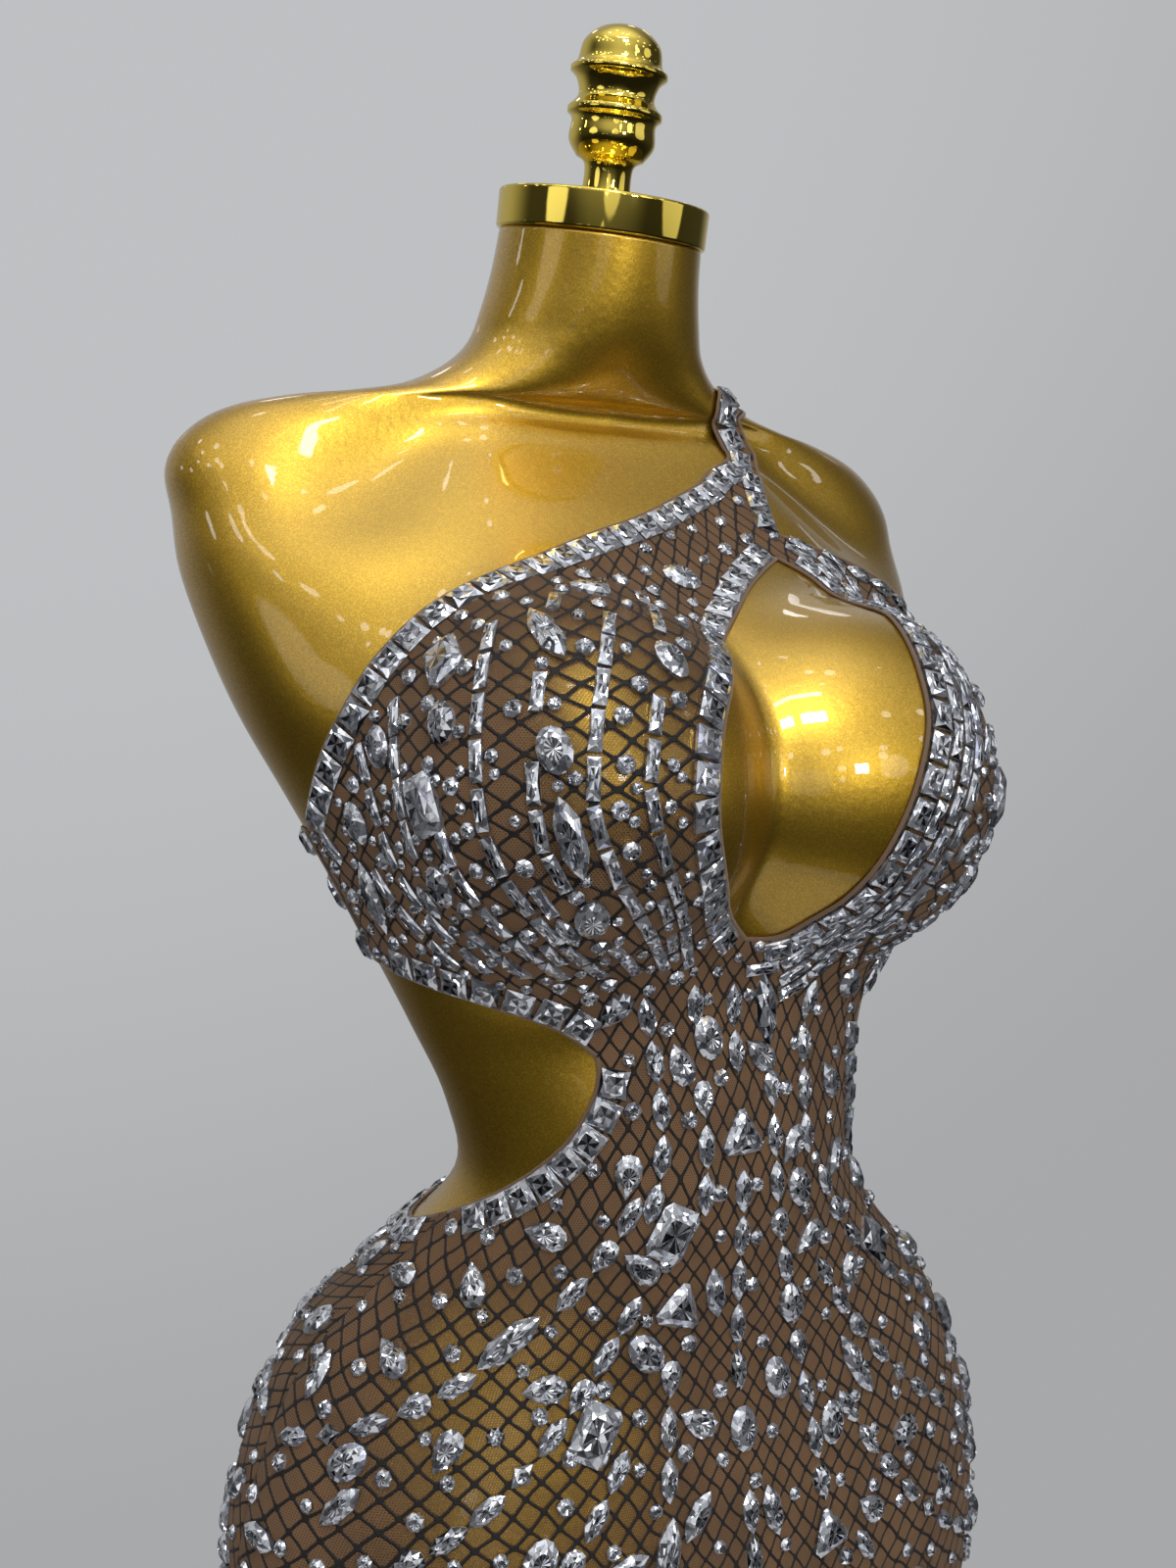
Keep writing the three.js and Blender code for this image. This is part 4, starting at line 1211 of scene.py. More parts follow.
# ---- Stones ----
class Cut(Enum):
    """How a stone is cut."""

    SQUARE = "square"
    OVAL = "oval"
    OCTAGON = "octagon"
    NAVETTE = "navette"
    TRIANGLE = "triangle"
    BAGUETTE = "baguette"
    MARQUISE = "marquise"
    PEAR = "pear"
    KITE = "kite"
    ROUND = "round"
    OBLONG = "oblong"


def shares(count: int) -> list[float]:
    """Even shares from 0 to 1."""
    return [k / (count - 1) for k in range(count)]


def ring(count: int) -> Line:
    """The corners of a round outline."""
    return [(math.cos(a), math.sin(a)) for a in ((k + 0.5) * 2 * math.pi / count for k in range(count))]


def both_sides(half: Line) -> Line:
    """An outline from the half of it that lies on one side of its long axis."""
    return half + [(x, -y) for x, y in reversed(half) if y]


CHOP = 0.72
BOX = [(1, 1), (-1, 1), (-1, -1), (1, -1)]
LEAF = both_sides([(1, 0), (0.78, 0.42), (0.4, 0.85), (-0.4, 0.85), (-0.78, 0.42), (-1, 0)])


class Stone(NamedTuple):
    """A cut's sizes: along, across, height over the cloth, the flat top's share, and its outline."""

    long: float
    wide: float
    high: float
    table: float
    outline: list


STONES = {
    Cut.SQUARE: Stone(12.6, 12.6, 3.3, 0.56, BOX),
    Cut.OVAL: Stone(19.5, 14, 4.2, 0.5, ring(12)),
    Cut.OCTAGON: Stone(25, 18, 5, 0.55, both_sides([(1, CHOP), (CHOP, 1), (-CHOP, 1), (-1, CHOP)])),
    Cut.NAVETTE: Stone(34, 12.5, 4.6, 0.5, LEAF),
    Cut.TRIANGLE: Stone(21, 21, 4.6, 0.5, both_sides([(1, 0.14), (0.25, 0.62), (-0.5, 1), (-0.8, 0.8),
                                                      (-0.86, 0)])),
    Cut.BAGUETTE: Stone(16.5, 5.6, 2.8, 0.5, BOX),
    Cut.MARQUISE: Stone(19, 9.2, 3.4, 0.48, LEAF),
    Cut.PEAR: Stone(16, 10.5, 3.4, 0.5, both_sides([(1, 0), (0.5, 0.6), (0, 0.92), (-0.5, 0.92), (-0.92, 0.5),
                                                    (-1, 0)])),
    Cut.KITE: Stone(13, 9, 2.8, 0.45, [(1, 0), (0, 1), (-1, 0), (0, -1)]),
    Cut.ROUND: Stone(7, 7, 2.8, 0.5, ring(8)),
    Cut.OBLONG: Stone(13.2, 9.2, 3.0, 0.58, BOX),
}


@dataclass
class StoneCutter:
    """Cuts one stone of each kind, and sets copies of it at their seats by Geometry Nodes."""

    finish: bpy.types.Material
    sink: float = 0.5
    girdle: float = 0.34
    crown: float = 0.8
    table_edge: float = 0.97
    table_middle: float = 0.9
    seed: int = 7

    def cut(self, cut: Cut) -> bpy.types.Object:
        """One stone about the origin, its long axis along x.

        Args:
            cut: How it is cut.

        Returns:
            The stone, in no collection.
        """
        size = STONES[cut]
        n = len(size.outline)
        outline = np.array(size.outline, float) * [size.long / 2, size.wide / 2]
        middle = (outline + np.roll(outline, -1, 0)) / 2 * (0.5 + size.table / 2)
        levels = ((outline, -self.sink), (outline, size.high * self.girdle), (middle, size.high * self.crown),
                  (outline * size.table, size.high))
        rim = outline * size.table
        points = [(x, y, z) for row, z in levels for x, y in row]
        points += [(x, y, size.high * self.table_edge) for x, y in (rim + np.roll(rim, -1, 0)) / 2]
        points.append((0, 0, size.high * self.table_middle))
        # Each face carries a facet value that picks its painted reflection in the finish: set values for the
        # girdle and the crown, light and dark in turn round the crown, and drawn values for the table's
        # wedges.
        faces, painted_facet_reflections = [tuple(range(n - 1, -1, -1))], [0.5]
        draw = np.random.default_rng(self.seed + n)
        painted_reflection_bands = ((0.3, 0.75), (0.0, 0.12), (0.5, 0.9), (0.08, 0.3))
        for k in range(n):
            j = (k + 1) % n
            g, h, m, o = n + k, n + j, 2 * n + k, 2 * n + j
            t, u, v, middle = 3 * n + k, 3 * n + j, 4 * n + k, 5 * n
            faces += [(k, j, h, g), (g, h, m), (h, o, m), (m, o, u), (m, u, t), (t, v, middle),
                      (v, u, middle), (t, u, v)]
            painted_facet_reflections += [0.3, 0.72, 0.55, 0.85 if k % 2 else 0.35, 0.6]
            painted_facet_reflections += [draw.uniform(*painted_reflection_bands[(2 * k) % 4]), draw.uniform(*painted_reflection_bands[(2 * k + 1) % 4]), 0.8]
        mesh = bpy.data.meshes.new(f"cut_{cut.value}")
        mesh.from_pydata((np.array(points) * MM).tolist(), [], faces)
        mesh.materials.append(self.finish)
        facet = mesh.attributes.new("facet", "FLOAT", "FACE")
        facet.data.foreach_set("value", np.array(painted_facet_reflections, np.float32))
        return bpy.data.objects.new(f"cut_{cut.value}", mesh)

    def tree(self) -> bpy.types.NodeTree:
        """The tree that sets a stone at each seat. It takes the stone, its finish, a scale and a seed."""
        tree = bpy.data.node_groups.new("set_stones", "GeometryNodeTree")
        for key, kind in (("Geometry", "NodeSocketGeometry"), ("Stone", "NodeSocketObject"),
                          ("Finish", "NodeSocketMaterial"), ("Scale", FLOAT), ("Seed", "NodeSocketInt")):
            tree.interface.new_socket(key, in_out="INPUT", socket_type=kind)
        tree.interface.new_socket("Geometry", in_out="OUTPUT", socket_type="NodeSocketGeometry")
        w = Wiring(tree)
        into, out = w.node("NodeGroupInput").outputs, w.node("NodeGroupOutput").inputs
        stone = w.node("GeometryNodeObjectInfo", {"Object": into["Stone"]}, transform_space="ORIGINAL")
        named = "GeometryNodeInputNamedAttribute"
        turn, size = (w.node(named, {"Name": name}, data_type="FLOAT_VECTOR").outputs[0]
                      for name in ("turn", "size"))
        scale = w.vector("SCALE", size, Scale=into["Scale"])
        rotation = w.node("FunctionNodeEulerToRotation", {0: turn}).outputs[0]
        placed = w.node("GeometryNodeInstanceOnPoints", {
            "Points": into["Geometry"], "Instance": stone.outputs["Geometry"], "Rotation": rotation,
            "Scale": scale})
        lot = w.node("FunctionNodeRandomValue", {"Seed": into["Seed"]}, data_type="FLOAT")
        kept = w.node("GeometryNodeStoreNamedAttribute", {
            "Geometry": placed.outputs[0], "Name": "lot", "Value": lot.outputs[1]}, data_type="FLOAT",
            domain="INSTANCE")
        real = w.node("GeometryNodeRealizeInstances", {"Geometry": kept.outputs[0]})
        painted = w.node("GeometryNodeSetMaterial", {"Geometry": real.outputs[0], "Material": into["Finish"]})
        w.feed(out["Geometry"], painted.outputs[0])
        return tree

    def set(self, name: str, cut: Cut, points: np.ndarray, turns: np.ndarray,
            sizes: np.ndarray) -> bpy.types.Object:
        """Sets stones of one cut.

        Args:
            name: The piece's name.
            cut: How the stones are cut.
            points: Their seats, in millimetres.
            turns: Their Euler angles.
            sizes: Their scales.

        Returns:
            One plain mesh of all of them.
        """
        stone = self.cut(cut)
        bpy.context.scene.collection.objects.link(stone)
        seats = new_piece(f"{name}_seats", points, [], self.finish)
        store(seats, "turn", "FLOAT_VECTOR", turns)
        store(seats, "size", "FLOAT_VECTOR", np.repeat(sizes[:, None], 3, 1))
        tree = bpy.data.node_groups.get("set_stones") or self.tree()
        modifier = seats.modifiers.new("set_stones", "NODES")
        modifier.node_group = tree
        values = {"Stone": stone, "Finish": self.finish, "Scale": 1.0, "Seed": self.seed}
        for item in tree.interface.items_tree:
            if item.in_out == "INPUT" and item.name in values:
                modifier[item.identifier] = values[item.name]
        depsgraph = bpy.context.evaluated_depsgraph_get()
        mesh = bpy.data.meshes.new_from_object(seats.evaluated_get(depsgraph))
        mesh.name = name
        seats.modifiers.remove(modifier)
        for unwanted in (seats, stone):
            bpy.data.objects.remove(unwanted)
        piece = bpy.data.objects.new(name, mesh)
        bpy.context.scene.collection.objects.link(piece)
        return finished(piece)


POINTED = (Cut.MARQUISE, Cut.NAVETTE, Cut.KITE, Cut.PEAR)

# How far apart stones in a row are, in millimetres, and how far inside the cloth's edge the square ones lie.
SQUARE_PITCH = 13.9
FALLING_PITCH = 20.4
BAGUETTE_PITCH = 18.0
SIDE_INSET = 7.5
KEYHOLE_INSET = 8.4


@dataclass
class Setting:
    """The seats of one panel's stones. A stone is left out where it would touch another or cross an edge."""

    shape: FormShape
    loops: list[np.ndarray]
    seats: list = field(default_factory=list)
    circles: np.ndarray = field(default_factory=lambda: np.zeros((0, 4)))
    clear: float = 0.5

    def frames(self, flat: np.ndarray, turns: np.ndarray) -> tuple[np.ndarray, ...]:
        """Where stones lie, and their directions along, across and out.

        Args:
            flat: Flat points.
            turns: Each stone's turn from straight up, degrees.

        Returns:
            The points and the three directions.
        """
        _, rise, out = self.shape.slopes(*split(flat))
        up = unit(rise)
        angle = np.radians(turns)[:, None]
        along = up * np.cos(angle) + np.cross(out, up) * np.sin(angle)
        points = self.shape.points(*split(flat)) + out * (CLOTH_GAP + CLOTH)
        return points, along, np.cross(out, along), out

    def ready(self, cuts: list[Cut], flat: np.ndarray, turns: np.ndarray, sizes: np.ndarray,
              margin: float) -> tuple[list[tuple], np.ndarray]:
        """Works out stones before they are seated.

        Args:
            cuts: Each stone's cut.
            flat: Their flat points.
            turns: Their turns.
            sizes: Their scales.
            margin: How far inside the cloth's edge they stay, in millimetres.

        Returns:
            For each stone its seat and the circles that cover it, and whether it is clear of the edges.
        """
        points, along, across, out = self.frames(flat, turns)
        longs = np.array([STONES[cut].long for cut in cuts]) * sizes / 2
        wides = np.array([STONES[cut].wide for cut in cuts]) * sizes / 2
        fits = np.ones(len(flat), bool)
        for a, b in ((1, 0), (-1, 0), (0, 1), (0, -1)):
            reach = along * ((longs + margin) * a)[:, None] + across * ((wides + margin) * b)[:, None]
            fits &= inside(flat + self.shape.step(flat, reach), self.loops)
        made = []
        for k, cut in enumerate(cuts):
            radius = min(longs[k], wides[k])
            count = max(int(round(longs[k] / radius)), 1)
            taper = 0.75 if cut in POINTED else 1.0
            spots = np.linspace(-1, 1, count) * (longs[k] - radius) if count > 1 else np.zeros(1)
            circles = np.array([[*(points[k] + along[k] * s), radius * (taper if s else 1.0)] for s in spots])
            made.append(((cut, points[k], np.stack([along[k], across[k], out[k]], 1), sizes[k]), circles))
        return made, fits

    def seat(self, stone: tuple, always: bool = False) -> bool:
        """Seats one stone if nothing is in its way.

        Args:
            stone: Its seat and the circles that cover it.
            always: Whether it is seated whatever is near.

        Returns:
            Whether it is seated.
        """
        seat, own = stone
        if not always and len(self.circles):
            gap = np.linalg.norm(own[:, None, :3] - self.circles[None, :, :3], axis=2)
            if np.any(gap < own[:, None, 3] + self.circles[None, :, 3] + self.clear):
                return False
        self.circles = np.concatenate([self.circles, own])
        self.seats.append(seat)
        return True

    def add(self, cuts: list[Cut], flat: np.ndarray, turns: np.ndarray | float, sizes: float = 1.0,
            always: bool = False, margin: float = 1.5) -> None:
        """Seats stones, one by one.

        Args:
            cuts: Each stone's cut.
            flat: Their flat points.
            turns: Their turns.
            sizes: Their scale.
            always: Whether they are seated whatever is near.
            margin: How far inside the cloth's edge they stay, in millimetres.
        """
        flat = np.asarray(flat, float).reshape(-1, 2)
        turns = np.broadcast_to(np.asarray(turns, float), len(flat))
        stones, fits = self.ready(cuts, flat, turns, np.full(len(flat), sizes), margin)
        for stone, fit in zip(stones, fits):
            if always or fit:
                self.seat(stone, always)

    def along(self, line: np.ndarray, pitch: float, ends: float = 0.0) -> tuple[np.ndarray, np.ndarray]:
        """Even places along a flat line.

        Args:
            line: The flat line.
            pitch: About how far apart, in millimetres.
            ends: How much of each end is left free.

        Returns:
            The places, and the line's turn from straight up at each.
        """
        at = self.shape.over(line, CLOTH_GAP + CLOTH)
        length = lengths_along(at)
        total = length[-1] - 2 * ends
        count = max(int(round(total / pitch)), 1)
        where = ends + (np.arange(count) + 0.5) * total / count
        flat, ahead, behind = (np.stack([np.interp(spots, length, line[:, k]) for k in range(2)], -1)
                               for spots in (where, where + 0.5, where - 0.5))
        turn, rise, out = self.shape.slopes(*split(flat))
        step = ahead - behind
        run = unit(turn * step[:, :1] + rise * step[:, 1:] / ROW)
        up = unit(rise)
        turns = np.degrees(np.arctan2(np.sum(np.cross(out, up) * run, 1), np.sum(up * run, 1)))
        return flat, turns

    def row(self, cut: Cut, line: np.ndarray, inset: float, pitch: float, ends: float = 0.0,
            always: bool = True) -> None:
        """A close row of one cut beside a flat line; a negative inset is to the line's right."""
        flat, turns = self.along(self.shape.beside(line, inset), pitch, ends)
        self.add([cut] * len(flat), flat, turns, always=always)

    def chain(self, cuts: list[Cut], line: np.ndarray, pitch: float, sizes: float = 1.0) -> None:
        """Stones end to end along a flat line, their cuts taken in turn."""
        flat, turns = self.along(line, pitch * sizes)
        self.add([cuts[k % len(cuts)] for k in range(len(flat))], flat, turns, sizes)

    def scatter(self, rows: tuple, kinds: list[Cut]) -> None:
        """Larger stones in level rows, their kinds taken in turn."""
        for r, row in enumerate(rows):
            for n in range(row.count):
                f = n / (row.count - 1) if row.count > 1 else 0.5
                up = row.height + (5 if n % 2 else -5)
                flat = [row.start + f * (row.end - row.start), self.shape.place_of(up) * ROW]
                kind = kinds[(r * 2 + n) % len(kinds)]
                self.add([kind], [flat], row.turn + row.fan * (f - 0.5), always=True)

    def fill(self, cuts: list[tuple[Cut, float]], spacing: float, seed: int, heights: tuple[float, float],
             tries: int = 4000) -> None:
        """Small stones where there is room.

        Args:
            cuts: Cuts and sizes, taken in turn.
            spacing: How far apart those it adds are, in millimetres.
            seed: The seed of its draws.
            heights: Between which heights over the waist.
            tries: How many places it tries.
        """
        draw = np.random.default_rng(seed)
        low, high = self.loops[0].min(0), self.loops[0].max(0)
        low[1], high[1] = (self.shape.place_of(up) * ROW for up in heights)
        flat = low + draw.random((tries, 2)) * (high - low)
        flat = flat[inside(flat, self.loops)]
        chosen = [cuts[k % len(cuts)] for k in range(len(flat))]
        sizes = np.array([size for _, size in chosen])
        stones, fits = self.ready([cut for cut, _ in chosen], flat, draw.random(len(flat)) * 180, sizes, 1.5)
        kept = np.zeros((0, 3))
        for stone, fit in zip(stones, fits):
            point = stone[0][1]
            if not fit or (len(kept) and np.min(np.linalg.norm(kept - point, axis=1)) < spacing):
                continue
            if self.seat(stone):
                kept = np.concatenate([kept, [point]])


class Level(NamedTuple):
    """A level row of larger stones: its height over the waist, its ends, how many, and their slant."""

    height: float
    start: float
    end: float
    count: int
    turn: float
    fan: float = 0.0


CUP_ROWS = (Level(266, -26, 0, 2, 60), Level(236, -48, -18, 3, 20), Level(202, -62, -34, 3, 10),
            Level(170, -72, -34, 3, 5), Level(138, -76, -34, 3, -10), Level(214, 48, 74, 2, -10),
            Level(178, 40, 76, 2, -10), Level(142, 38, 74, 2, 0))
FRONT_ROWS = (Level(76, -10, 12, 2, 10), Level(34, 0, 0, 1, 0), Level(-5, -24, 24, 2, 0, 40),
              Level(-48, -56, 56, 4, 0, 60), Level(-96, -74, 74, 5, 0, 90), Level(-150, -66, 66, 4, 0, 60),
              Level(-205, -74, 74, 5, 0, 60), Level(-265, -66, 66, 4, 0, 40), Level(-330, -74, 74, 5, 0, 40))
BACK_ROWS = (Level(-60, 125, 235, 2, 0, 60), Level(-125, 106, 254, 4, 0, 60), Level(-190, 118, 242, 3, 0, 60),
             Level(-260, 106, 254, 4, 0, 40), Level(-330, 118, 242, 3, 0, 40))
CUP_KINDS = [Cut.OVAL, Cut.OVAL, Cut.OCTAGON, Cut.NAVETTE, Cut.OVAL]
SKIRT_KINDS = [Cut.OVAL, Cut.NAVETTE, Cut.TRIANGLE, Cut.OVAL, Cut.OCTAGON]


@dataclass
class Rhinestones:
    """All the stones, by rule: close rows on the edges, chains that fan out, and small ones between."""

    shape: FormShape
    edges: Edges
    inset: float = 7.6

    def line(self, *stops: tuple[float, float]) -> np.ndarray:
        """A smooth flat line through angles and heights over the waist."""
        return smooth(self.shape.flat(rows(*stops)), 8)

    def front(self) -> Setting:
        """The front's seats."""
        e = self.edges
        made = Setting(self.shape, e.front())
        neck = e.neckline[(e.neckline[:, 0] > -87) & (e.neckline[:, 0] < 86)]
        made.row(Cut.SQUARE, neck, -self.inset, SQUARE_PITCH)
        made.row(Cut.SQUARE, e.strap_edge[e.strap_edge[:, 1] < 20.6 * ROW], self.inset, SQUARE_PITCH)
        made.row(Cut.SQUARE, e.key_left, -KEYHOLE_INSET, SQUARE_PITCH, 3)
        for line, side in ((e.cut_top, -1), (e.cut_low, -1), (e.right_cut_top, 1), (e.right_cut_low, 1)):
            made.row(Cut.SQUARE, line[np.abs(line[:, 0]) < 87], side * SIDE_INSET, SQUARE_PITCH, 6)
        made.row(Cut.OBLONG, e.key_right, -7.2, 14.6, 8)
        made.scatter(CUP_ROWS, CUP_KINDS)
        made.scatter(FRONT_ROWS, SKIRT_KINDS)
        self.right_cup(made)
        self.left_cup(made)
        self.middle(made)
        for side in (1, -1):
            self.hip(made, side, 0)
        made.fill([(Cut.ROUND, 1.0), (Cut.ROUND, 1.15), (Cut.ROUND, 0.85)], 15.0, 11, (98, 340), 5000)
        made.fill([(Cut.ROUND, 0.7), (Cut.ROUND, 0.75)], 11.0, 12, (98, 190), 3000)
        self.loose(made, 13, 14)
        return made

    def right_cup(self, made: Setting) -> None:
        """Chains of baguettes that fan out from under the keyhole to the neckline."""
        for f in shares(9):
            low = (-16 - 54 * f, 103 + 2 * f)
            high = (-14 - 70 * f, 272 - 112 * f**1.5)
            bow = (-24 - 54 * f, 178 - 46 * f)
            made.chain([Cut.BAGUETTE], self.line(low, bow, high), BAGUETTE_PITCH)
        for f in shares(12):
            line = self.line((-20 - 56 * f, 104), (-25 - 56 * f, 150 - 12 * f))
            made.chain([Cut.BAGUETTE, Cut.BAGUETTE, Cut.MARQUISE], line, BAGUETTE_PITCH, 0.9)

    def left_cup(self, made: Setting) -> None:
        """Close rows that follow the keyhole, and two rows of small stones on the outer edge."""
        e = self.edges
        for k in range(3):
            made.chain([Cut.BAGUETTE], self.shape.beside(e.key_right, -15.5 - 8.0 * k), BAGUETTE_PITCH)
        made.row(Cut.MARQUISE, e.left, -8.0, 18.5, 4, always=False)
        made.row(Cut.PEAR, e.left, -19.0, 17.0, 4, always=False)
        for f in shares(8):
            line = self.line((12 + 66 * f, 104), (24 + 56 * f, 158 - 8 * f), (40 + 42 * f, 232 - 66 * f))
            made.chain([Cut.BAGUETTE, Cut.BAGUETTE, Cut.MARQUISE], line, 17.0, 0.92)

    def middle(self, made: Setting) -> None:
        """Upright chains over the waist, which part slightly below it."""
        made.chain([Cut.MARQUISE], self.line((0, 94), (0, 0), (0, LOWEST_UP)), FALLING_PITCH)
        for side in (1, -1):
            near = self.line((side * 14, 96), (side * 14, 0), (side * 20, -80), (side * 25, LOWEST_UP))
            made.chain([Cut.MARQUISE, Cut.MARQUISE, Cut.PEAR], near, FALLING_PITCH)
            far = self.line((side * 29, 92), (side * 28, 30), (side * 32, -6))
            made.chain([Cut.MARQUISE], far, FALLING_PITCH)

    def hip(self, made: Setting, side: int, middle: float) -> None:
        """Chains that sweep out and down over a hip.

        Args:
            made: The seats.
            side: 1 for the left hip, -1 for the right.
            middle: The panel's middle, in degrees round.
        """
        out = side if middle == 0 else -side
        for k in range(7):
            top = 26 - 62 * k
            stops = ((30, top), (41, top - 42), (56, top - 84), (72, top - 112), (87, top - 128))
            line = self.line(*((middle + out * turn, up) for turn, up in stops))
            made.chain([Cut.MARQUISE, Cut.MARQUISE, Cut.PEAR, Cut.MARQUISE, Cut.KITE], line, 20.0)

    @staticmethod
    def loose(made: Setting, seed: int, small_seed: int) -> None:
        """Loose stones between the waist and the hem, then small round ones between them."""
        large = [(Cut.OVAL, 1.0), (Cut.MARQUISE, 1.2), (Cut.PEAR, 1.2)]
        small = [(Cut.ROUND, 1.0), (Cut.ROUND, 1.15), (Cut.ROUND, 0.9)]
        made.fill(large, 36.0, seed, (LOWEST_UP, 90), 5000)
        made.fill(small, 19.0, small_seed, (LOWEST_UP, 98), 7000)

    def back(self) -> Setting:
        """The back skirt's seats."""
        e = self.edges
        made = Setting(self.shape, e.skirt())
        made.row(Cut.SQUARE, e.back_top[np.abs(e.back_top[:, 0] - 180) < 87], -SIDE_INSET, SQUARE_PITCH)
        made.scatter(BACK_ROWS, SKIRT_KINDS)
        for turn in (152, 166, 180, 194, 208):
            line = self.line((turn, -10), (turn, LOWEST_UP))
            made.chain([Cut.MARQUISE, Cut.MARQUISE, Cut.PEAR], line, FALLING_PITCH)
        for side in (1, -1):
            self.hip(made, side, 180)
        self.loose(made, 23, 21)
        return made

    def band(self) -> Setting:
        """The back band's seats: squares along both edges, and upright baguettes between."""
        loops = self.edges.band()
        made = Setting(self.shape, loops)
        low, high = loops[0][0, 1], loops[0][2, 1]
        turns = np.linspace(93, 267, 88)
        for y, inset in ((low, SIDE_INSET), (high, -SIDE_INSET)):
            made.row(Cut.SQUARE, np.stack([turns, np.full(88, y)], -1), inset, 13.4)
        for turn in np.linspace(96, 264, 36):
            made.add([Cut.BAGUETTE], [[turn, (low + high) / 2]], 0.0)
        return made

    def strap(self) -> Setting:
        """The back strap's seats: one row of squares down its middle."""
        loops = self.edges.strap()
        made = Setting(self.shape, loops)
        middle = (self.edges.strap_inner + self.edges.strap_outer) / 2
        part = middle[(middle[:, 0] > 92) & (middle[:, 1] > loops[0][:, 1].min() + 3)]
        made.row(Cut.SQUARE, part, 0.0, 13.2, 2)
        return made

    def build(self, cutter: StoneCutter) -> dict[str, list[bpy.types.Object]]:
        """Sets every stone.

        Args:
            cutter: What cuts and sets them.

        Returns:
            The stones' pieces by panel.
        """
        made: dict[str, list[bpy.types.Object]] = {}
        for panel, setting in (("front", self.front()), ("back", self.back()), ("band", self.band()),
                               ("strap", self.strap())):
            made[panel] = []
            for cut in Cut:
                seats = [seat for seat in setting.seats if seat[0] is cut]
                if not seats:
                    continue
                points = np.array([seat[1] for seat in seats])
                frames = np.array([seat[2] for seat in seats])
                flat = np.hypot(frames[:, 0, 0], frames[:, 1, 0])
                turns = np.stack([np.arctan2(frames[:, 2, 1], frames[:, 2, 2]),
                                  np.arctan2(-frames[:, 2, 0], flat),
                                  np.arctan2(frames[:, 1, 0], frames[:, 0, 0])], -1)
                sizes = np.array([seat[3] for seat in seats])
                name = f"{panel}_{cut.value}_stones"
                made[panel].append(cutter.set(name, cut, points, turns, sizes))
                LOG.info("%s: %d stones", name, len(seats))
        return made


class Glow(NamedTuple):
    """A bright part of the room: which way it lies, the cosines of its soft edge, and how bright it is."""

    toward: tuple
    low: float
    high: float
    strength: float


GLOWS = (
    Glow((-0.2, -0.5, 0.82), 0.35, 0.97, 0.6),
    Glow((-0.1, -0.2, 1.0), 0.8, 1.0, 0.5),
    Glow((0.1, 1.0, 0.35), 0.3, 0.9, 0.36),
    Glow((-0.35, -0.95, 0.12), 0.72, 1.0, 0.16),
    Glow((0.75, -0.65, 0.1), 0.96, 0.97, 0.8),
    Glow((-0.97, -0.2, 0.1), 0.975, 0.985, 1.2),
    Glow((-0.35, -0.94, 0.0), 0.985, 0.99, 0.8),
    Glow((0.3, -0.95, 0.16), 0.992, 0.994, 2.0),
)


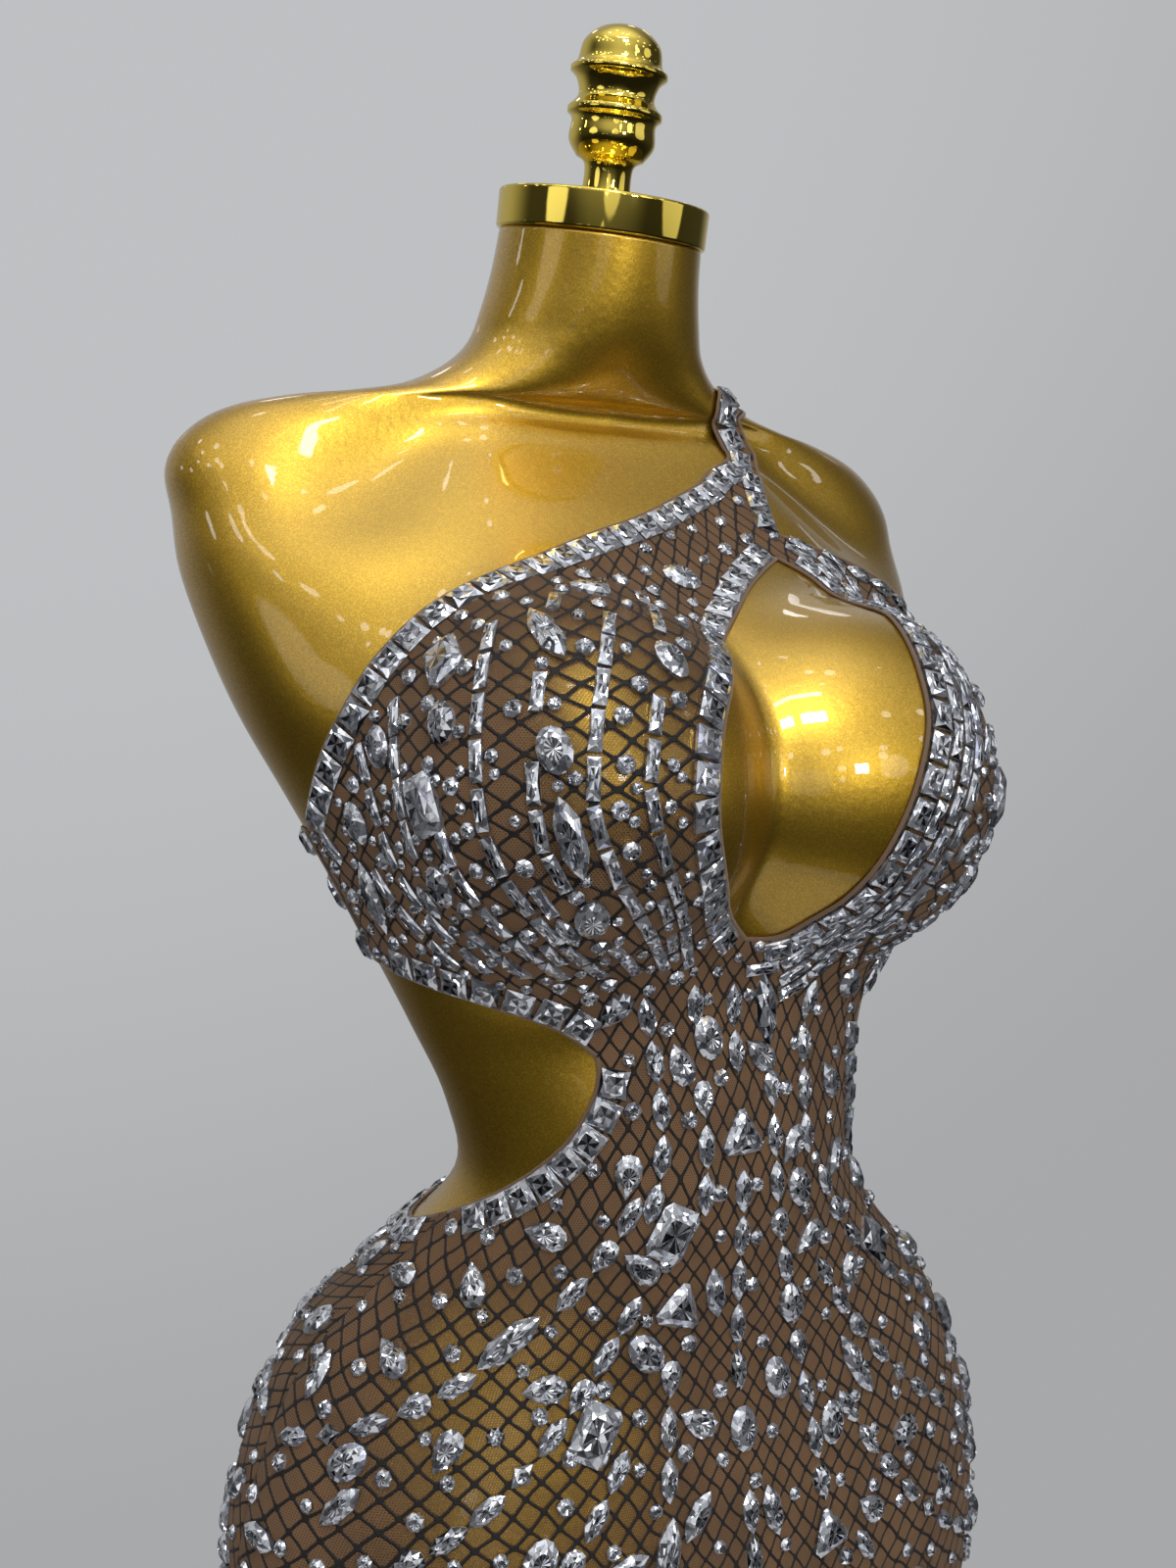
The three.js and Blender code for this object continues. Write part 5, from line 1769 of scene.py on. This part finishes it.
@dataclass
class Studio:
    """The floor, the soft lights, the surroundings and the camera."""

    camera_round: float = -30.0
    camera_far: float = 0.72
    camera_high: float = 0.8545
    yaw: float = -28.7
    pitch: float = -3.1
    roll: float = 0.07
    sensor: float = 36.0
    focal_pixels: float = 1500.0
    image_high: float = 1600.0
    floor_radius: float = 0.62
    floor_thick: float = 0.004
    room_dim: float = 0.045
    lamp_share: float = 0.87
    lamp_size: float = 0.35
    lamp_strength: float = 5.0

    def build(self) -> None:
        """Makes all of it."""
        self.floor()
        self.surroundings()
        self.light("key", at=(-0.3, -1.15, 1.9), to=(0.0, 0.0, 0.9), size=(0.3, 0.2), power=5.2)
        self.light("strip", at=(-0.3, -0.8, 2.2), to=(0.0, 0.05, 0.9), size=(0.5, 0.08), power=1.9)
        self.light("front", at=(0.1, -1.9, 1.1), to=(0.0, 0.0, 0.75), size=(0.2, 0.2), power=3.5)
        self.camera()

    def floor(self) -> None:
        """A round of pale floor under the stand."""
        radius = self.floor_radius / MM
        points, faces = lathe([(radius, -self.floor_thick / MM), (radius, 0)], 128)
        new_piece("floor", points, faces, FloorPaint().make(), smooth_faces=False)

    @staticmethod
    def facing(w: Wiring, way: bpy.types.NodeSocket, toward: tuple, low: float,
               high: float) -> bpy.types.NodeSocket:
        """How much a direction is turned towards another: 0 at the low cosine and 1 at the high one."""
        aim = tuple(Vector(toward).normalized())
        turned = w.node("ShaderNodeVectorMath", {0: way, 1: aim}, operation="DOT_PRODUCT")
        return w.map_range(turned.outputs["Value"], low, high, 0.0, 1.0, "SMOOTHSTEP")

    def surroundings(self) -> None:
        """A pale wall behind, soft light all round, and a room of bright and dark parts for glossy things."""
        world = bpy.data.worlds.new("studio")
        bpy.context.scene.world = world
        world.use_nodes = True
        world.node_tree.nodes.clear()
        w = Wiring(world.node_tree)
        path = w.node("ShaderNodeLightPath").outputs
        way = w.node("ShaderNodeTexCoord").outputs["Generated"]
        room: object = self.room_dim
        for glow in GLOWS:
            shine = self.facing(w, way, glow.toward, glow.low, glow.high)
            room = w.math("MULTIPLY_ADD", shine, glow.strength, room)
        cells = w.node("ShaderNodeTexVoronoi", {"Vector": way, "Scale": 9.0}, feature="F1")
        pick = w.node("ShaderNodeSeparateColor", {0: cells.outputs["Color"]}).outputs[0]
        lamp = w.math("MULTIPLY", w.math("GREATER_THAN", pick, self.lamp_share),
                      w.math("LESS_THAN", cells.outputs["Distance"], self.lamp_size))
        high_up = self.facing(w, way, (-0.3, -0.3, 1.0), 0.1, 0.5)
        room = w.math("MULTIPLY_ADD", w.math("MULTIPLY", lamp, high_up), self.lamp_strength, room)
        low_down = self.facing(w, way, (0.0, 0.0, 1.0), -0.5, 0.25)
        room = w.math("MULTIPLY", room, w.math("MULTIPLY_ADD", low_down, 0.72, 0.28))
        wall_light = self.facing(w, way, (0.1, 0.88, 0.46), 0.5, 0.98)
        wall = w.mix(wall_light, (0.39, 0.392, 0.4), (0.52, 0.53, 0.545))
        other = w.mix(path["Is Glossy Ray"], (0.6, 0.6, 0.61), room)
        colour = w.mix(path["Is Camera Ray"], other, wall)
        background = w.node("ShaderNodeBackground", {"Color": colour, "Strength": 1.0})
        w.node("ShaderNodeOutputWorld", {"Surface": background.outputs[0]})

    def light(self, name: str, at: tuple, to: tuple, size: tuple, power: float) -> None:
        """A soft rectangular light.

        Args:
            name: Its name.
            at: Where it is.
            to: The point it faces.
            size: Its width and height.
            power: Its power in watts.
        """
        data = bpy.data.lights.new(name, "AREA")
        data.shape = "RECTANGLE"
        data.size, data.size_y = size
        data.energy = power
        lamp = bpy.data.objects.new(name, data)
        lamp.location = at
        lamp.rotation_euler = (Vector(to) - Vector(at)).to_track_quat("-Z", "Y").to_euler()
        bpy.context.scene.collection.objects.link(lamp)

    def camera(self) -> None:
        """The camera, a little over the bust, turned to the form."""
        data = bpy.data.cameras.new("camera")
        data.sensor_fit = "AUTO"
        data.sensor_width = self.sensor
        data.lens = self.focal_pixels / self.image_high * self.sensor
        data.clip_start = 0.01
        data.clip_end = 50
        camera = bpy.data.objects.new("camera", data)
        turn = math.radians(self.camera_round)
        far = self.camera_far
        camera.location = (math.sin(turn) * far, -math.cos(turn) * far, self.camera_high)
        yaw = Euler((0, 0, math.radians(self.yaw))).to_quaternion()
        pitch = Euler((math.radians(90 + self.pitch), 0, 0)).to_quaternion()
        roll = Euler((0, 0, math.radians(self.roll))).to_quaternion()
        camera.rotation_euler = (yaw @ pitch @ roll).to_euler()
        bpy.context.scene.collection.objects.link(camera)
        bpy.context.scene.camera = camera


def main() -> None:
    """Builds the studio, the form and the dress."""
    logging.basicConfig(level=logging.INFO, format="%(message)s")
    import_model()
    bpy.context.scene.view_settings.view_transform = "Standard"
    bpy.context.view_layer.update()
    Studio().build()
    paint = Metal("gold_paint", (0.62, 0.385, 0.04), (0.5, 0.295, 0.022), roughness=0.4, spread=0.12,
                  ripple_scale=260.0, ripple=0.35, coat=1.0, coat_roughness=0.03, flake=0.28).make()
    plate = Metal("gold_plate", (0.9, 0.7, 0.14), (0.84, 0.63, 0.1), roughness=0.05, spread=0.05,
                  ripple_scale=120.0, ripple=0.05).make()
    steel = Metal("brushed_steel", (0.62, 0.62, 0.63), (0.5, 0.5, 0.51), roughness=0.28, spread=0.14,
                  ripple_scale=500.0, ripple=0.12).make()
    shape = FormShape()
    Stand().build(steel)
    DisplayForm(shape).build(paint)
    NeckFurniture().build(plate)
    edges = Edges(shape)
    cloth, knit = NetCloth().make(), KnitBinding().make()
    bindings = edges.bindings()
    stones = Rhinestones(shape, edges).build(StoneCutter(CutGlass().make()))
    for panel, loops, node, cut in (("front", edges.front(), "dress_front", (0.57, 0.88)),
                                    ("back", edges.skirt(), "dress_back", (0.55, 0.44)),
                                    ("band", edges.band(), "back_band", (0.37, 0.068)),
                                    ("strap", edges.strap(), "back_strap", (0.0205, 0.285))):
        sheet = Panel(shape, f"cloth_{panel}", loops, node)
        piece = sheet.build(cloth)
        binding = Binding(shape, f"{panel}_binding", bindings[panel]).build(knit)


if __name__ == "__main__":
    main()
